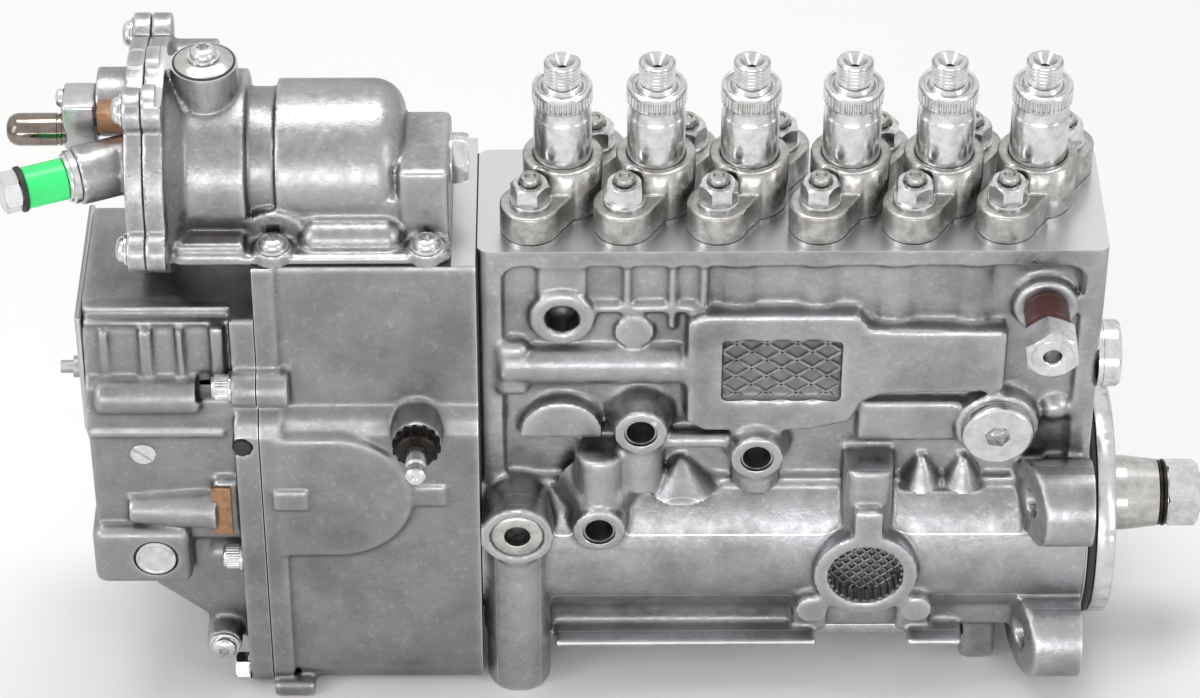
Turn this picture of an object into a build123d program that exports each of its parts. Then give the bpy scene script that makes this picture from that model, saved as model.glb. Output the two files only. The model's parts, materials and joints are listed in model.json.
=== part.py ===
from build123d import *
import os
from math import cos, radians, sin, sqrt

# Six-cylinder inline diesel injection pump with a flyweight governor and a boost compensator.
# Millimetres. +X runs along the camshaft to the drive end, the fuel ports face -Y, +Z is up.
# The origin is on the camshaft axis, at the mounting face of the flange.

# Clearances
running_gap = 0.05
free_gap = 0.3

# Pump body
body_length = 236.0
deck_z = 149.5
deck_depth = 31.5
cam_box_r = 45.0
cam_cavity_r = 36.0
base_z = -38.0
base_half = 36.0
base_left = -207.0
base_right = -50.0
base_plate_thickness = 5.0
rest_z = -60.0
front_recess = 3.5
gallery_face = 33.3
end_rib = 9.0
rim_height = 8.0

# Elements
element_pitch = 35.0
middle_gap = 38.0
first_element_x = -204.0
element_count = 6

# Flange and drive end
lug_y = 45.0
lug_z = 35.0
lug_r = 17.0
lug_thickness = 16.5
lug_slope = 16.4
lug_depth = 23.5
lug_hole_r = 5.5
pilot_r = 47.5
pilot_length = 11.5
pilot_groove_start = 0.8
pilot_groove_width = 3.4
pilot_groove_depth = 3.0
cover_bore_r = 40.0
cover_spigot = 16.0
seal_r = 22.0
seal_width = 8.0
shaft_r = 15.0
shaft_small_r = 13.4
taper_start = 20.0
shaft_end = 33.0
thread_r = 8.0
washer_r = 13.5
washer_thickness = 3.4
nut_flats = 24.0
nut_height = 13.0
thread_end = 3.0

# Camshaft
cam_base_r = 17.5
cam_lift = 10.5
cam_nose_r = 7.0
cam_width = 13.0
core_r = 16.5
journal_r = 15.5
cone_r = 21.0
cup_r = 28.0
bearing_width = 15.0
governor_shaft_r = 10.0

# Tappet, plunger and barrel stack, measured along the element axis
roller_r = 9.0
roller_width = 11.0
roller_pin_r = 3.5
tappet_r = 14.4
tappet_height = 26.0
tappet_wall = 2.6
seat_thickness = 2.0
plunger_spring_r = 12.2
plunger_wire_r = 1.1
plunger_spring_turns = 4.5
plunger_spring_height = 18.0
plunger_r = 5.5
sleeve_r = 10.2
sleeve_wall = 1.6
sleeve_skirt = 9.0
sleeve_height = 17.0
arm_r = 1.8
ball_r = 3.3
ball_rise = 2.0
rack_y = -20.0
rack_r = 5.5
rack_travel = 10.5
rack_slot_width = 8.0
rack_end = -4.5
barrel_r = 10.5
bushing_bore_r = 10.8
bushing_body_r = 13.5
spigot_depth = 34.0
shim_thickness = 1.2
bushing_flange = 12.3
bushing_ring_r = 15.0
bushing_ring_height = 9.6
stud_dx = 12.1
stud_dy = 18.1
stud_r = 4.0
stud_depth = 16.0
stud_above = 3.0
lobe_r = 11.5
stud_nut_flats = 13.0
stud_nut_height = 7.5
stud_washer_r = 7.9
stud_washer_thickness = 1.6

# Delivery holders and valves
holder_top_z = 214.7
holder_body_r = 10.9
holder_neck_r = 10.4
collar_r = 11.3
collar_height = 7.0
collar_drop = 10.8
outlet_r = 6.9
outlet_length = 9.6
outlet_bore_r = 2.6
shoulder_height = 6.0
holder_seat_z = 166.0
valve_seat_height = 7.0
valve_r = 3.4
valve_lift = 2.5
valve_spring_r = 3.3
valve_wire_r = 0.6

# Rack cap
rack_cap_r = 13.0
rack_cap_length = 9.0
rack_cap_wall = 2.0

# Front ports
port_r = 5.5
port_depth = 14.0
port_boss_r = 10.4
feed_x = -86.0
feed_z = 1.0
feed_face = 50.0
feed_pad_r = 20.5
feed_recess_r = 14.6
feed_recess_depth = 9.0
feed_foot_r = 6.5
overflow_x = -22.4
overflow_z = 123.0
overflow_boss_r = 12.3
overflow_hex = 19.0
overflow_bore_r = 3.6
overflow_sleeve_r = 8.6
overflow_sleeve_length = 17.0
overflow_head = 12.0
plug_x = -37.5
plug_z = 65.5
plug_r = 14.0
plug_height = 5.0
plug_hex = 9.0
bush_x = -222.2
bush_z = 24.0
bush_face = 52.0
bush_r = 10.4
bush_bore_r = 5.0
bush_boss_r = 14.2
leg_r = 12.7
leg_set_back = 0.5

# Governor housing and cover
joint_gap = 0.6
governor_length = 83.0
governor_top = 40.0
governor_half = 49.0
governor_floor = -60.0
governor_wall = 4.5
pad_x = -292.0
pad_z = 44.0
pad_r = 30.5
pad_rise = 2.5
cover_length = 65.0
cover_flange = 9.0
cover_top_z = 125.0
cover_wall = 4.0
end_plate_thickness = 2.5
end_plate_stud_r = 2.5
control_x = -259.7
control_z = 77.0
control_shaft_r = 4.1
control_front = 76.5
control_rear = 62.0
control_boss = 56.0
control_lever_reach = 42.0
control_lever_hole = 3.1

# Flyweight governor
hub_x = -282.0
hub_half = 12.0
hub_r = 12.0
weight_inner = 18.0
weight_outer = 31.0
weight_half = 13.0
weight_length = 22.0
weight_travel = 4.0
pin_r = 3.0
weight_nut_r = 5.0
sliding_sleeve_r = 13.0
sliding_sleeve_length = 20.0
sliding_neck_r = 8.0
shaft_tip_r = 5.0
lever_x = -311.0
lever_z = 30.0
lever_pin_r = 2.5
lever_shaft_r = 4.0
lever_side = 17.0
lever_arm_y = -29.0

# Boost compensator
boost_z = 172.0
boost_flange_x = -349.5
boost_flange_thickness = 7.5
boost_cover_thickness = 7.0
boost_disc_r = 44.4
boost_pitch_r = 45.0
boost_ear_r = 8.0
boost_underside = 127.0
boost_screw_angles = (50, 122, 194, 302, 356)
boost_drum_r = 32.0
boost_neck_r = 25.3
barrel_outer_r = 28.3
boost_base_height = 4.0
boost_rod_r = 4.0
boost_travel = 6.0
diaphragm_r = 36.0
diaphragm_thickness = 1.0
turret_x = -335.6
turret_y = -2.2
turret_z = 216.0
turret_r = 12.4
dish_r = 11.0
dome_length = 12.5
boost_port_y = -19.6
boost_port_rise = 10.8
boost_port_tilt = 22.0
port_boss_length = 20.5
port_washer = 4.3
port_small_washer = 2.2
port_flats = 14.0
port_head = 6.5
green_r = 7.8
green_length = 15.5
end_plug_y = -3.0
end_plug_r = 6.0
end_plug_flats = 17.0
steel_pin_r = 6.2
steel_pin_length = 21.5

neck_left = -321.0
barrel_left = -310.0
spring_seat_x = -303.0
boost_base_half = 40.0

# Screws and plugs: X, Z and radius
screw_r = 3.0
screw_head_r = 5.0
hex_bolt_y = 46.0
hex_bolt_z = -50.0
link_x = -283.0
torx_x = -339.0
torx_z = -36.0
slot_plug = (-365.0, 61.5, 5.0)
core_plug = (-363.0, 12.0, 8.2)
rubber_plug = (-326.5, 70.0, 3.9)
end_stud_y = -20.0
end_stud_z = 85.0


def box(x0, x1, y0, y1, z0, z1):
    """A block between two opposite corners."""
    return Pos((x0 + x1) / 2, (y0 + y1) / 2, (z0 + z1) / 2) * Box(x1 - x0, y1 - y0, z1 - z0)


def soft_box(x0, x1, y0, y1, z0, z1, r):
    """A block with every edge rounded."""
    block = box(x0, x1, y0, y1, z0, z1)
    return fillet(block.edges(), r)


def turned(direction, start, end, a, b):
    """The place and turn that lays a Z solid of length end - start along an axis."""
    middle = (start + end) / 2
    if direction == "X":
        return Pos(middle, a, b) * Rot(0, 90, 0)
    if direction == "Y":
        return Pos(a, middle, b) * Rot(-90, 0, 0)
    return Pos(a, b, middle)


def rod(direction, start, end, a, b, r, r_end=None):
    """A cylinder, or a cone when r_end is given, along X, Y or Z."""
    if r_end is None:
        return turned(direction, start, end, a, b) * Cylinder(r, end - start)
    return turned(direction, start, end, a, b) * Cone(r, r_end, end - start)


def ring(direction, start, end, a, b, r, bore):
    """A tube along X, Y or Z."""
    return rod(direction, start, end, a, b, r) - rod(direction, start, end, a, b, bore)


def hexagon(direction, start, end, a, b, flats, turn=0.0):
    """A hexagonal prism along X, Y or Z."""
    length = end - start
    prism = extrude(RegularPolygon(flats / sqrt(3), 6), amount=length)
    return turned(direction, start, end, a, b) * Rot(0, 0, turn) * Pos(0, 0, -length / 2) * prism


def across(points, x0, x1):
    """An outline in Y and Z, drawn out along X."""
    outline = Plane.YZ.offset(x0) * Polygon(*points, align=None)
    return extrude(outline, amount=x1 - x0, dir=(1, 0, 0))


def facing(points, y0, y1):
    """An outline in X and Z, drawn out along Y."""
    back = Plane(origin=(0, y1, 0), x_dir=(1, 0, 0), z_dir=(0, -1, 0))
    return extrude(back * Polygon(*points, align=None), amount=y1 - y0, dir=(0, -1, 0))


def element_places():
    """The six element axes along the body: two groups of three with a wider middle gap."""
    half = element_count // 2
    extra = middle_gap - element_pitch
    return [first_element_x + i * element_pitch + (extra if i >= half else 0) for i in range(element_count)]


def coil(r, wire, height, turns):
    """A closed coil spring standing on Z = 0, with wire-wide room at both ends."""
    path = Helix(pitch=(height - 2 * wire) / turns, height=height - 2 * wire, radius=r)
    section = Plane(origin=path @ 0, z_dir=path % 0) * Circle(wire)
    return Pos(0, 0, wire) * sweep(section, path=path, is_frenet=True)


# Heights that follow from the stack
cam_top = cam_base_r + cam_lift
roller_z = cam_top + free_gap + roller_r
tappet_z = roller_z + 3.0
tappet_top = tappet_z + tappet_height
spring_floor = tappet_top + seat_thickness
spring_top = spring_floor + plunger_spring_height
sleeve_z = spring_top + seat_thickness + free_gap
arm_z = sleeve_z + arm_r + 1.6
rack_z = arm_z - ball_rise
barrel_foot = sleeve_z + 2.0
bushing_z = deck_z + shim_thickness
flange_top = bushing_z + bushing_flange
ring_top = flange_top + bushing_ring_height
nut_z = flange_top + stud_washer_thickness
stud_top = nut_z + stud_nut_height + stud_above
chamber_r = plunger_spring_r + plunger_wire_r + 0.9
pump_left = -body_length
governor_right = pump_left - joint_gap
governor_left = governor_right - governor_length
cover_right = governor_left - joint_gap
cover_left = cover_right - cover_length
arm_reach = -rack_y
boost_base_z = deck_z + joint_gap
boost_base_left = governor_left
boost_base_right = governor_right - 9.0
diaphragm_x = boost_flange_x - boost_flange_thickness
boost_cover_x = diaphragm_x - boost_cover_thickness
spigot_foot = deck_z - spigot_depth
lever_slot = lever_pin_r + 0.2
sleeve_bore_r = sleeve_r - sleeve_wall
barrel_neck_r = sleeve_bore_r - running_gap


def port_list():
    """Threaded front ports: X, Z and the distance of the face from the camshaft axis."""
    return [(-174.5, 68.2, 42.0), (-190.4, 23.0, 48.0), (-129.7, 55.2, 42.0)]


gallery_port = (-204.5, 117.7)


def lug_places():
    """The four flange bolts."""
    return [(y, z) for y in (-lug_y, lug_y) for z in (-lug_z, lug_z)]


def body_shell():
    """The outer shape of the pump body."""
    top = box(pump_left, 0, -deck_depth, deck_depth, 0, deck_z)
    top = fillet(top.edges().filter_by(Axis.Z), 4.0)
    shell = top + rod("X", pump_left, 0, 0, 0, cam_box_r)
    shell += box(pump_left, 0, -base_half, base_half, base_z, 0)
    return shell - box(pump_left - 1, 1, -cam_box_r, cam_box_r, base_z - cam_box_r, base_z)


def front_relief():
    """The recessed front wall between the deck rim, the end ribs and the cam box."""
    low = sqrt(cam_box_r ** 2 - deck_depth ** 2) + 4.0
    relief = box(pump_left + end_rib, -end_rib, -deck_depth - 1, -deck_depth + front_recess,
                 low, deck_z - rim_height)
    return fillet(relief.edges().filter_by(Axis.Y), 6.0)


def boss_y(x, z, r, face, depth):
    """A round boss that points at -Y."""
    boss = rod("Y", -face, -face + depth, x, z, r)
    return fillet(boss.edges().group_by(Axis.Y)[0], 1.2)


def front_bosses():
    """Everything that stands on the front wall."""
    wall_y = -deck_depth + front_recess
    parts = []
    for x, z, face in port_list():
        parts.append(boss_y(x, z, port_boss_r, face, face + wall_y + 6))
    x, z = gallery_port
    teardrop = boss_y(x, z, 12.5, gallery_face, 9) + box(x - 9, x + 9, -deck_depth + 0.8, wall_y + 4, z, deck_z - 4)
    parts.append(teardrop)
    parts.append(rod("Y", -deck_depth, wall_y + 4, -177.2, 110.0, 7.6))
    parts.append(boss_y(overflow_x, overflow_z, overflow_boss_r, deck_depth + 2, 10))
    parts.append(boss_y(plug_x, plug_z, plug_r + 2.2, deck_depth + 4.5, 12))
    tube = rod("X", pump_left + 8, -159.0, wall_y - 0.5, 94.5, 7.6)
    parts.append(fillet(tube.edges(), 2.5))
    parts.append(soft_box(-230.0, -217.0, -deck_depth - 3, wall_y + 4, 80.0, 106.0, 4.0))
    half = rod("Y", -deck_depth - 3.5, wall_y + 4, -205.0, 62.0, 16.0)
    parts.append(half & box(-225, -185, -60, 0, 60.0, 90.0))
    parts.append(soft_box(-91.0, -50.0, -deck_depth - 1.5, wall_y + 4, 56.0, 76.0, 2.0))
    parts.append(Pos(-15.0, wall_y + 1.5, 70.0) * Sphere(6.5))
    parts.append(fillet(rod("X", -176.0, -128.0, -deck_depth - 0.5, 57.5, 3.6).edges(), 1.5))
    for x, z, face in port_list():
        if z > 40:
            parts.append(rod("Z", 36.0, z, x, -deck_depth - 1.0, port_boss_r - 1.5))
    return parts


def plate_pad():
    """The stepped machined pad with its cross-hatched window."""
    face = -deck_depth - 4.0
    back = -deck_depth + front_recess + 4
    outline = [(-157, 68), (-157, 118), (-151, 121), (-93, 121), (-88, 114), (-36, 113),
               (-36, 83), (-82, 82), (-90, 78), (-94, 68), (-110, 64), (-150, 64)]
    pad = facing(outline, face, back)
    pad = fillet(pad.edges().filter_by(Axis.Y), 2.5)
    window = [(-144, 79), (-144, 109), (-103, 109), (-98, 104), (-98, 84), (-103, 79)]
    pad -= facing(window, face - 1, face + 2.5)
    return pad + diamond_hatch(face)


def diamond_hatch(face):
    """Raised diagonal ribs on the floor of the window."""
    centre = Pos(-121, 0, 94)
    ribs = []
    for side in (-1, 1):
        for i in range(-4, 5):
            bar = Rot(0, side * 55, 0) * Pos(i * 7.0, 0, 0) * Box(1.6, 1.6, 60)
            ribs.append(centre * Pos(0, face + 2.2, 0) * bar)
    frame = facing([(-143.4, 79.6), (-143.4, 108.4), (-103.2, 108.4), (-98.6, 103.8), (-98.6, 84.2), (-103.2, 79.6)],
                   face + 1.4, face + 3.4)
    return Compound(ribs[0].fuse(*ribs[1:]).solids()) & frame


def lower_front():
    """The feed pump pad with its column, the port columns, the leg and the foot block."""
    parts = [rod("Y", -feed_face, -20, feed_x, feed_z, feed_pad_r)]
    column = box(feed_x - 9.5, feed_x + 9.5, -feed_face + 5, -20, feed_z, 50.0)
    parts.append(fillet(column.edges().filter_by(Axis.Z).group_by(Axis.Y)[0], 6.0))
    parts.append(box(feed_x - 5.5, feed_x + 5.5, -feed_face, -20, feed_z, feed_z + 33.0))
    for side in (-1, 1):
        parts.append(rod("Y", -feed_face, -20, feed_x + side * 20.5, base_z + feed_foot_r + 14, feed_foot_r))
        parts.append(box(feed_x + side * 20.5 - feed_foot_r, feed_x + side * 20.5 + feed_foot_r, -base_half - 4, -20,
                         base_z, base_z + feed_foot_r + 14))
    x, z, face = port_list()[1]
    parts.append(rod("Z", z, 56.0, x, -36.0, 9.5))
    boss = rod("Y", -bush_face, -20, bush_x, bush_z, bush_boss_r)
    parts.append(boss & box(pump_left, 0, -bush_face, -20, bush_z - bush_boss_r, bush_z + bush_boss_r))
    parts.append(rod("Z", rest_z, bush_z, bush_x, leg_set_back - bush_face + leg_r, leg_r))
    parts.append(box(bush_x - leg_r, bush_x + leg_r, leg_set_back - bush_face + leg_r, -20, base_z, bush_z))
    parts.append(soft_box(-45.0, -31.0, -34.0, 34.0, rest_z, base_z + 6, 2.5))
    return parts


def flange_lugs():
    """The drive end flange: a barrel, four lugs and the webs that join them."""
    parts = [rod("X", -lug_thickness - 8, 0, 0, 0, cam_box_r)]
    for y, z in lug_places():
        slope = lug_slope if y < 0 else -lug_slope
        face = Pos(-lug_depth, y, z) * Rot(0, 0, slope) * Pos(-20, 0, 0) * Box(40, 90, 60)
        parts.append(rod("X", -lug_depth - 8, 0, y, z, lug_r) - face)
        parts.append(box(-lug_thickness, 0, min(y, 0), max(y, 0), z - 11, z + 11))
    return parts


def body_cavities():
    """The cam space, the tappet bores, the spring chambers and the bores for barrels and studs."""
    cuts = [rod("X", pump_left + 20, -cover_spigot, 0, 0, cam_cavity_r)]
    cuts.append(box(pump_left + 26, base_right - 6, -27, 27, base_z - 1, 0))
    cuts.append(rod("X", pump_left - 1, pump_left + 21, 0, 0, cup_r))
    cuts.append(rod("X", -cover_spigot, 1, 0, 0, cover_bore_r))
    for x in element_places():
        cuts.append(rod("Z", 20, spring_top + seat_thickness, x, 0, tappet_r + running_gap))
        cuts.append(rod("Z", spring_top, spigot_foot - 6, x, 0, chamber_r))
        cuts.append(rod("Z", spring_top, deck_z + 1, x, 0, bushing_body_r + running_gap))
        for side in (-1, 1):
            cuts.append(rod("Z", deck_z - stud_depth, deck_z + 1, x + side * stud_dx, side * stud_dy, stud_r))
    places = element_places()
    swing = rack_travel + ball_r
    half = element_count // 2
    for group in (places[:half], places[half:]):
        cuts.append(box(group[0] - swing - 0.5, group[-1] + swing + 0.5, rack_y - ball_r - 0.6, -4,
                        rack_z - rack_r, arm_z + ball_r + 1))
    cuts.append(rod("X", pump_left - 1, 1, rack_y, rack_z, rack_r + running_gap))
    cuts.append(rod("X", pump_left + 14, -14, -21.5, gallery_port[1], 3.2))
    return cuts


def front_holes():
    """Ports and bolt holes that open at the front."""
    cuts = []
    for x, z, face in port_list():
        cuts.append(rod("Y", -face - 1, -face + port_depth, x, z, port_r))
        cuts.append(rod("Y", -face - 1, -face + 1.2, x, z, port_r + 1.2))
    x, z = gallery_port
    cuts.append(rod("Y", -gallery_face - 1, -21.5, x, z, 6.3))
    cuts.append(rod("Y", -feed_face - 1, -feed_face + feed_recess_depth, feed_x, feed_z, feed_recess_r))
    cuts.append(rod("Y", -deck_depth - 3, -18, overflow_x, overflow_z, 6.0))
    cuts.append(rod("Y", -deck_depth - 6, -22, plug_x, plug_z, plug_r - 3))
    cuts.append(rod("Y", -bush_face - 1, -bush_face + 16, bush_x, bush_z, bush_r))
    for y, z in lug_places():
        cuts.append(rod("X", -lug_thickness - 20, 1, y, z, lug_hole_r))
    return cuts


def pump_housing():
    """The cast aluminium pump body."""
    shell = body_shell() - front_relief()
    for piece in front_bosses() + lower_front() + flange_lugs() + [plate_pad()]:
        shell += piece
    for cut in body_cavities() + front_holes():
        shell -= cut
    for x, y in plate_screw_places():
        shell -= rod("Z", base_z - 1, base_z + 9, x, y, screw_r)
    return shell


def base_plate():
    """The plate that closes the cam box from below."""
    plate = box(base_left, base_right, -base_half, base_half, base_z - base_plate_thickness, base_z)
    plate = fillet(plate.edges().filter_by(Axis.Z), 5.0)
    for x, y in plate_screw_places():
        plate -= rod("Z", base_z - base_plate_thickness - 1, base_z + 1, x, y, screw_r)
    return plate


def bearing_starts():
    """The left end of each bearing."""
    return [pump_left + 2, -cover_spigot - 1.5]


def bearing_cover():
    """The pilot disc with its spigot, O-ring groove, bearing bore and seal bore."""
    disc = rod("X", 0, pilot_length, 0, 0, pilot_r)
    disc = chamfer(disc.edges().group_by(Axis.X)[-1], 1.0)
    disc += rod("X", -cover_spigot + free_gap, 0, 0, 0, cover_bore_r - running_gap)
    disc -= ring("X", pilot_groove_start, pilot_groove_start + pilot_groove_width, 0, 0,
                 pilot_r + 1, pilot_r - pilot_groove_depth)
    disc -= rod("X", pilot_length - seal_width, pilot_length + 1, 0, 0, seal_r)
    disc -= rod("X", -cover_spigot - 1, pilot_length, 0, 0, journal_r + 1.5)
    return disc - rod("X", -cover_spigot - 1, bearing_starts()[1] + bearing_width, 0, 0, cup_r)


def seals():
    """The pilot O-ring and the shaft seal."""
    middle = pilot_groove_start + pilot_groove_width / 2
    cord = pilot_groove_width / 2 - 0.1
    o_ring = Pos(middle, 0, 0) * Rot(0, 90, 0) * Torus(pilot_r - pilot_groove_depth + cord, cord)
    lip = ring("X", pilot_length - seal_width, pilot_length - 0.5, 0, 0, seal_r, shaft_r + running_gap)
    return [o_ring, lip]


def bearing_cups():
    """The outer rings of the two taper bearings."""
    return [ring("X", x, x + bearing_width, 0, 0, cup_r, cone_r + running_gap) for x in bearing_starts()]


def bearing_cones():
    """The inner rings of the two taper bearings, with their rollers as a plain band."""
    return [ring("X", x, x + bearing_width, 0, 0, cone_r, journal_r) for x in bearing_starts()]


def cam(x, angle):
    """One cam: a base circle, a nose circle and the flanks between them."""
    nose = cam_top - cam_nose_r
    base = Pos(x, 0, 0) * Rot(angle, 0, 0) * Rot(0, 90, 0) * Cylinder(cam_base_r, cam_width)
    tip = Pos(x, 0, 0) * Rot(angle, 0, 0) * Pos(0, 0, nose) * Rot(0, 90, 0) * Cylinder(cam_nose_r, cam_width)
    slope = (cam_base_r - cam_nose_r) / nose
    flank = sqrt(1 - slope ** 2)
    points = [(cam_base_r * flank, cam_base_r * slope), (cam_nose_r * flank, nose + cam_nose_r * slope),
              (-cam_nose_r * flank, nose + cam_nose_r * slope), (-cam_base_r * flank, cam_base_r * slope)]
    flanks = Pos(x, 0, 0) * Rot(angle, 0, 0) * across(points, -cam_width / 2, cam_width / 2)
    return base + tip + flanks


def camshaft():
    """The camshaft with six cams, its journals, the drive end and the governor end."""
    left, right = bearing_starts()
    shaft = rod("X", left + bearing_width, right, 0, 0, core_r)
    shaft += rod("X", left, left + bearing_width, 0, 0, journal_r)
    shaft += rod("X", right, right + bearing_width, 0, 0, journal_r)
    shaft += rod("X", right + bearing_width, taper_start, 0, 0, shaft_r)
    shaft += rod("X", taper_start, shaft_end, 0, 0, shaft_r, shaft_small_r)
    shaft += rod("X", shaft_end, nut_end() + thread_end, 0, 0, thread_r)
    shaft += rod("X", hub_x - hub_half, left, 0, 0, governor_shaft_r)
    shaft += rod("X", lever_x, hub_x - hub_half, 0, 0, shaft_tip_r)
    order = (0, 240, 120, 180, 60, 300)
    for x, angle in zip(element_places(), order):
        shaft += cam(x, angle)
    return shaft


def nut_end():
    """The outer face of the drive nut."""
    return shaft_end + washer_thickness + nut_height


def drive_nut():
    """The hexagon nut on the drive end."""
    start = shaft_end + washer_thickness
    nut = hexagon("X", start, nut_end(), 0, 0, nut_flats, 12)
    nut &= rod("X", start, nut_end(), 0, 0, nut_flats / 2 + 3.0, nut_flats / 2 + 1.0)
    return nut - rod("X", start - 1, nut_end() + 1, 0, 0, thread_r)


def lock_washer():
    """The black spring washer under the drive nut."""
    washer = ring("X", shaft_end, shaft_end + washer_thickness, 0, 0, washer_r, thread_r)
    return washer - box(shaft_end - 1, shaft_end + washer_thickness + 1, -0.8, 0.8, 0, washer_r + 1)


def tappets():
    """Six roller tappets, held at the top of their stroke: shell, roller and pin."""
    solids = []
    for x in element_places():
        shell = rod("Z", tappet_z, tappet_top, x, 0, tappet_r)
        shell -= rod("Z", tappet_z + 8, tappet_top - tappet_wall, x, 0, tappet_r - tappet_wall)
        shell -= box(x - roller_width / 2 - free_gap, x + roller_width / 2 + free_gap,
                     -roller_r - 1, roller_r + 1, tappet_z - 1, roller_z + roller_r + 1)
        fork = box(x - roller_width / 2 - 3.0, x - roller_width / 2 - free_gap, -6, 6, roller_z - 5, tappet_z + 6)
        shell += fork + mirror(fork, Plane.YZ.offset(x))
        pin = rod("X", x - roller_width / 2 - 3.0, x + roller_width / 2 + 3.0, 0, roller_z, roller_pin_r)
        shell -= pin
        roller = ring("X", x - roller_width / 2, x + roller_width / 2, 0, roller_z, roller_r, roller_pin_r)
        solids += [shell, roller, pin]
    return solids


def plunger_springs():
    """Six plunger springs with their lower and upper seats."""
    spring = coil(plunger_spring_r, plunger_wire_r, plunger_spring_height, plunger_spring_turns)
    solids = []
    for x in element_places():
        solids.append(Pos(x, 0, spring_floor) * spring)
        solids.append(ring("Z", tappet_top, spring_floor, x, 0, chamber_r - 0.4, plunger_r + 0.6))
        solids.append(ring("Z", spring_top, spring_top + seat_thickness, x, 0, chamber_r - 0.4, sleeve_r + 0.4))
    return solids


def plunger_barrels():
    """Six barrels, each with its plunger bore, and the six valve seats on top of them."""
    solids = []
    top = holder_seat_z - valve_seat_height
    for x in element_places():
        barrel = rod("Z", spigot_foot - 4, top, x, 0, barrel_r)
        barrel += rod("Z", barrel_foot, spigot_foot - 4, x, 0, barrel_neck_r)
        barrel -= rod("Z", barrel_foot - 1, top + 1, x, 0, plunger_r + running_gap / 2)
        barrel -= rod("Y", -barrel_r - 1, barrel_r + 1, x, spigot_foot + 14, 1.5)
        solids += [barrel, ring("Z", top, holder_seat_z, x, 0, bushing_bore_r, valve_r + running_gap)]
    return solids


def element(x):
    """One plunger and the control sleeve that turns it."""
    top = spigot_foot + 12
    plunger = rod("Z", tappet_top - seat_thickness + 2.2, top, x, 0, plunger_r)
    plunger += box(x - sleeve_r + 0.4, x + sleeve_r - 0.4, -1.9, 1.9, sleeve_z - sleeve_skirt + 1, sleeve_z - 2)
    plunger -= rod("X", x + 2.5, x + 8, 0, top - 7, 2.0)
    sleeve = ring("Z", sleeve_z - sleeve_skirt, sleeve_z + sleeve_height, x, 0, sleeve_r, sleeve_bore_r)
    sleeve -= box(x - sleeve_r - 1, x + sleeve_r + 1, -2.0, 2.0, sleeve_z - sleeve_skirt - 1, sleeve_z - 1.5)
    sleeve += rod("Y", -arm_reach, -sleeve_bore_r - 0.4, x, arm_z, arm_r)
    sleeve += Pos(x, -arm_reach, arm_z) * Sphere(ball_r)
    return [plunger, sleeve]


def control_rack():
    """The rack: a round bar with one slot for each sleeve ball."""
    bar = rod("X", lever_x - 7, rack_end, rack_y, rack_z, rack_r)
    for x in element_places():
        bar -= box(x - rack_slot_width / 2, x + rack_slot_width / 2, rack_y - rack_r - 1, rack_y + rack_r + 1,
                   arm_z - ball_r - 0.4, rack_z + rack_r + 1)
    return bar - box(lever_x - lever_slot, lever_x + lever_slot, rack_y - rack_r - 1, rack_y + 0.5,
                     rack_z - rack_r - 1, rack_z + rack_r + 1)


def rack_cap():
    """The zinc-plated cap over the rack bore at the drive end."""
    cap = rod("X", 0, rack_cap_length, rack_y, rack_z, rack_cap_r)
    cap = fillet(cap.edges().group_by(Axis.X)[-1], 2.0)
    return cap - rod("X", -1, rack_cap_length - rack_cap_wall, rack_y, rack_z, rack_r + 0.5)


def bushing_outline(x, z0, z1):
    """The two-lobed flange plate of one bushing."""
    lobes = []
    for side in (-1, 1):
        lobes.append(rod("Z", z0, z1, x + side * stud_dx, side * stud_dy, lobe_r))
    plate = lobes[0] + lobes[1] + rod("Z", z0, z1, x, 0, bushing_ring_r)
    length = sqrt(stud_dx ** 2 + stud_dy ** 2)
    ux, uy = stud_dx / length, stud_dy / length
    px, py = -uy * (lobe_r - 0.3), ux * (lobe_r - 0.3)
    corners = [(x + s * stud_dx + t * px, s * stud_dy + t * py) for s, t in ((-1, -1), (1, -1), (1, 1), (-1, 1))]
    web = extrude(Plane.XY.offset(z0) * Polygon(*corners, align=None), amount=z1 - z0)
    return plate + web


def stud_places(x):
    """The two studs of one bushing."""
    return [(x + side * stud_dx, side * stud_dy) for side in (-1, 1)]


def flange_bushings():
    """Six flange bushings that hold barrel, valve and holder."""
    solids = []
    for x in element_places():
        bushing = bushing_outline(x, bushing_z, flange_top)
        bushing += rod("Z", flange_top - 1, ring_top, x, 0, bushing_ring_r)
        bushing = chamfer(bushing.edges().group_by(Axis.Z)[-1], 0.8)
        bushing += rod("Z", spigot_foot, bushing_z + 1, x, 0, bushing_body_r)
        bushing -= rod("Z", spigot_foot - 1, ring_top + 1, x, 0, bushing_bore_r + 0.2)
        for sx, sy in stud_places(x):
            bushing -= rod("Z", bushing_z - 1, flange_top + 1, sx, sy, stud_r + 0.5)
            bushing -= rod("Z", flange_top, ring_top + 1, sx, sy, stud_washer_r + 0.3)
        solids.append(bushing)
    return solids


def bushing_shims():
    """Thin shims under the flange plates."""
    solids = []
    for x in element_places():
        shim = bushing_outline(x, deck_z, bushing_z)
        shim -= rod("Z", deck_z - 1, bushing_z + 1, x, 0, bushing_body_r + 0.3)
        for sx, sy in stud_places(x):
            shim -= rod("Z", deck_z - 1, bushing_z + 1, sx, sy, stud_r + 0.5)
        solids.append(shim)
    return solids


def flange_studs():
    """Twelve studs in the deck."""
    studs = []
    for x in element_places():
        for sx, sy in stud_places(x):
            stud = rod("Z", deck_z - stud_depth, stud_top, sx, sy, stud_r)
            studs.append(chamfer(stud.edges().group_by(Axis.Z)[-1], 0.8))
    return studs


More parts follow.
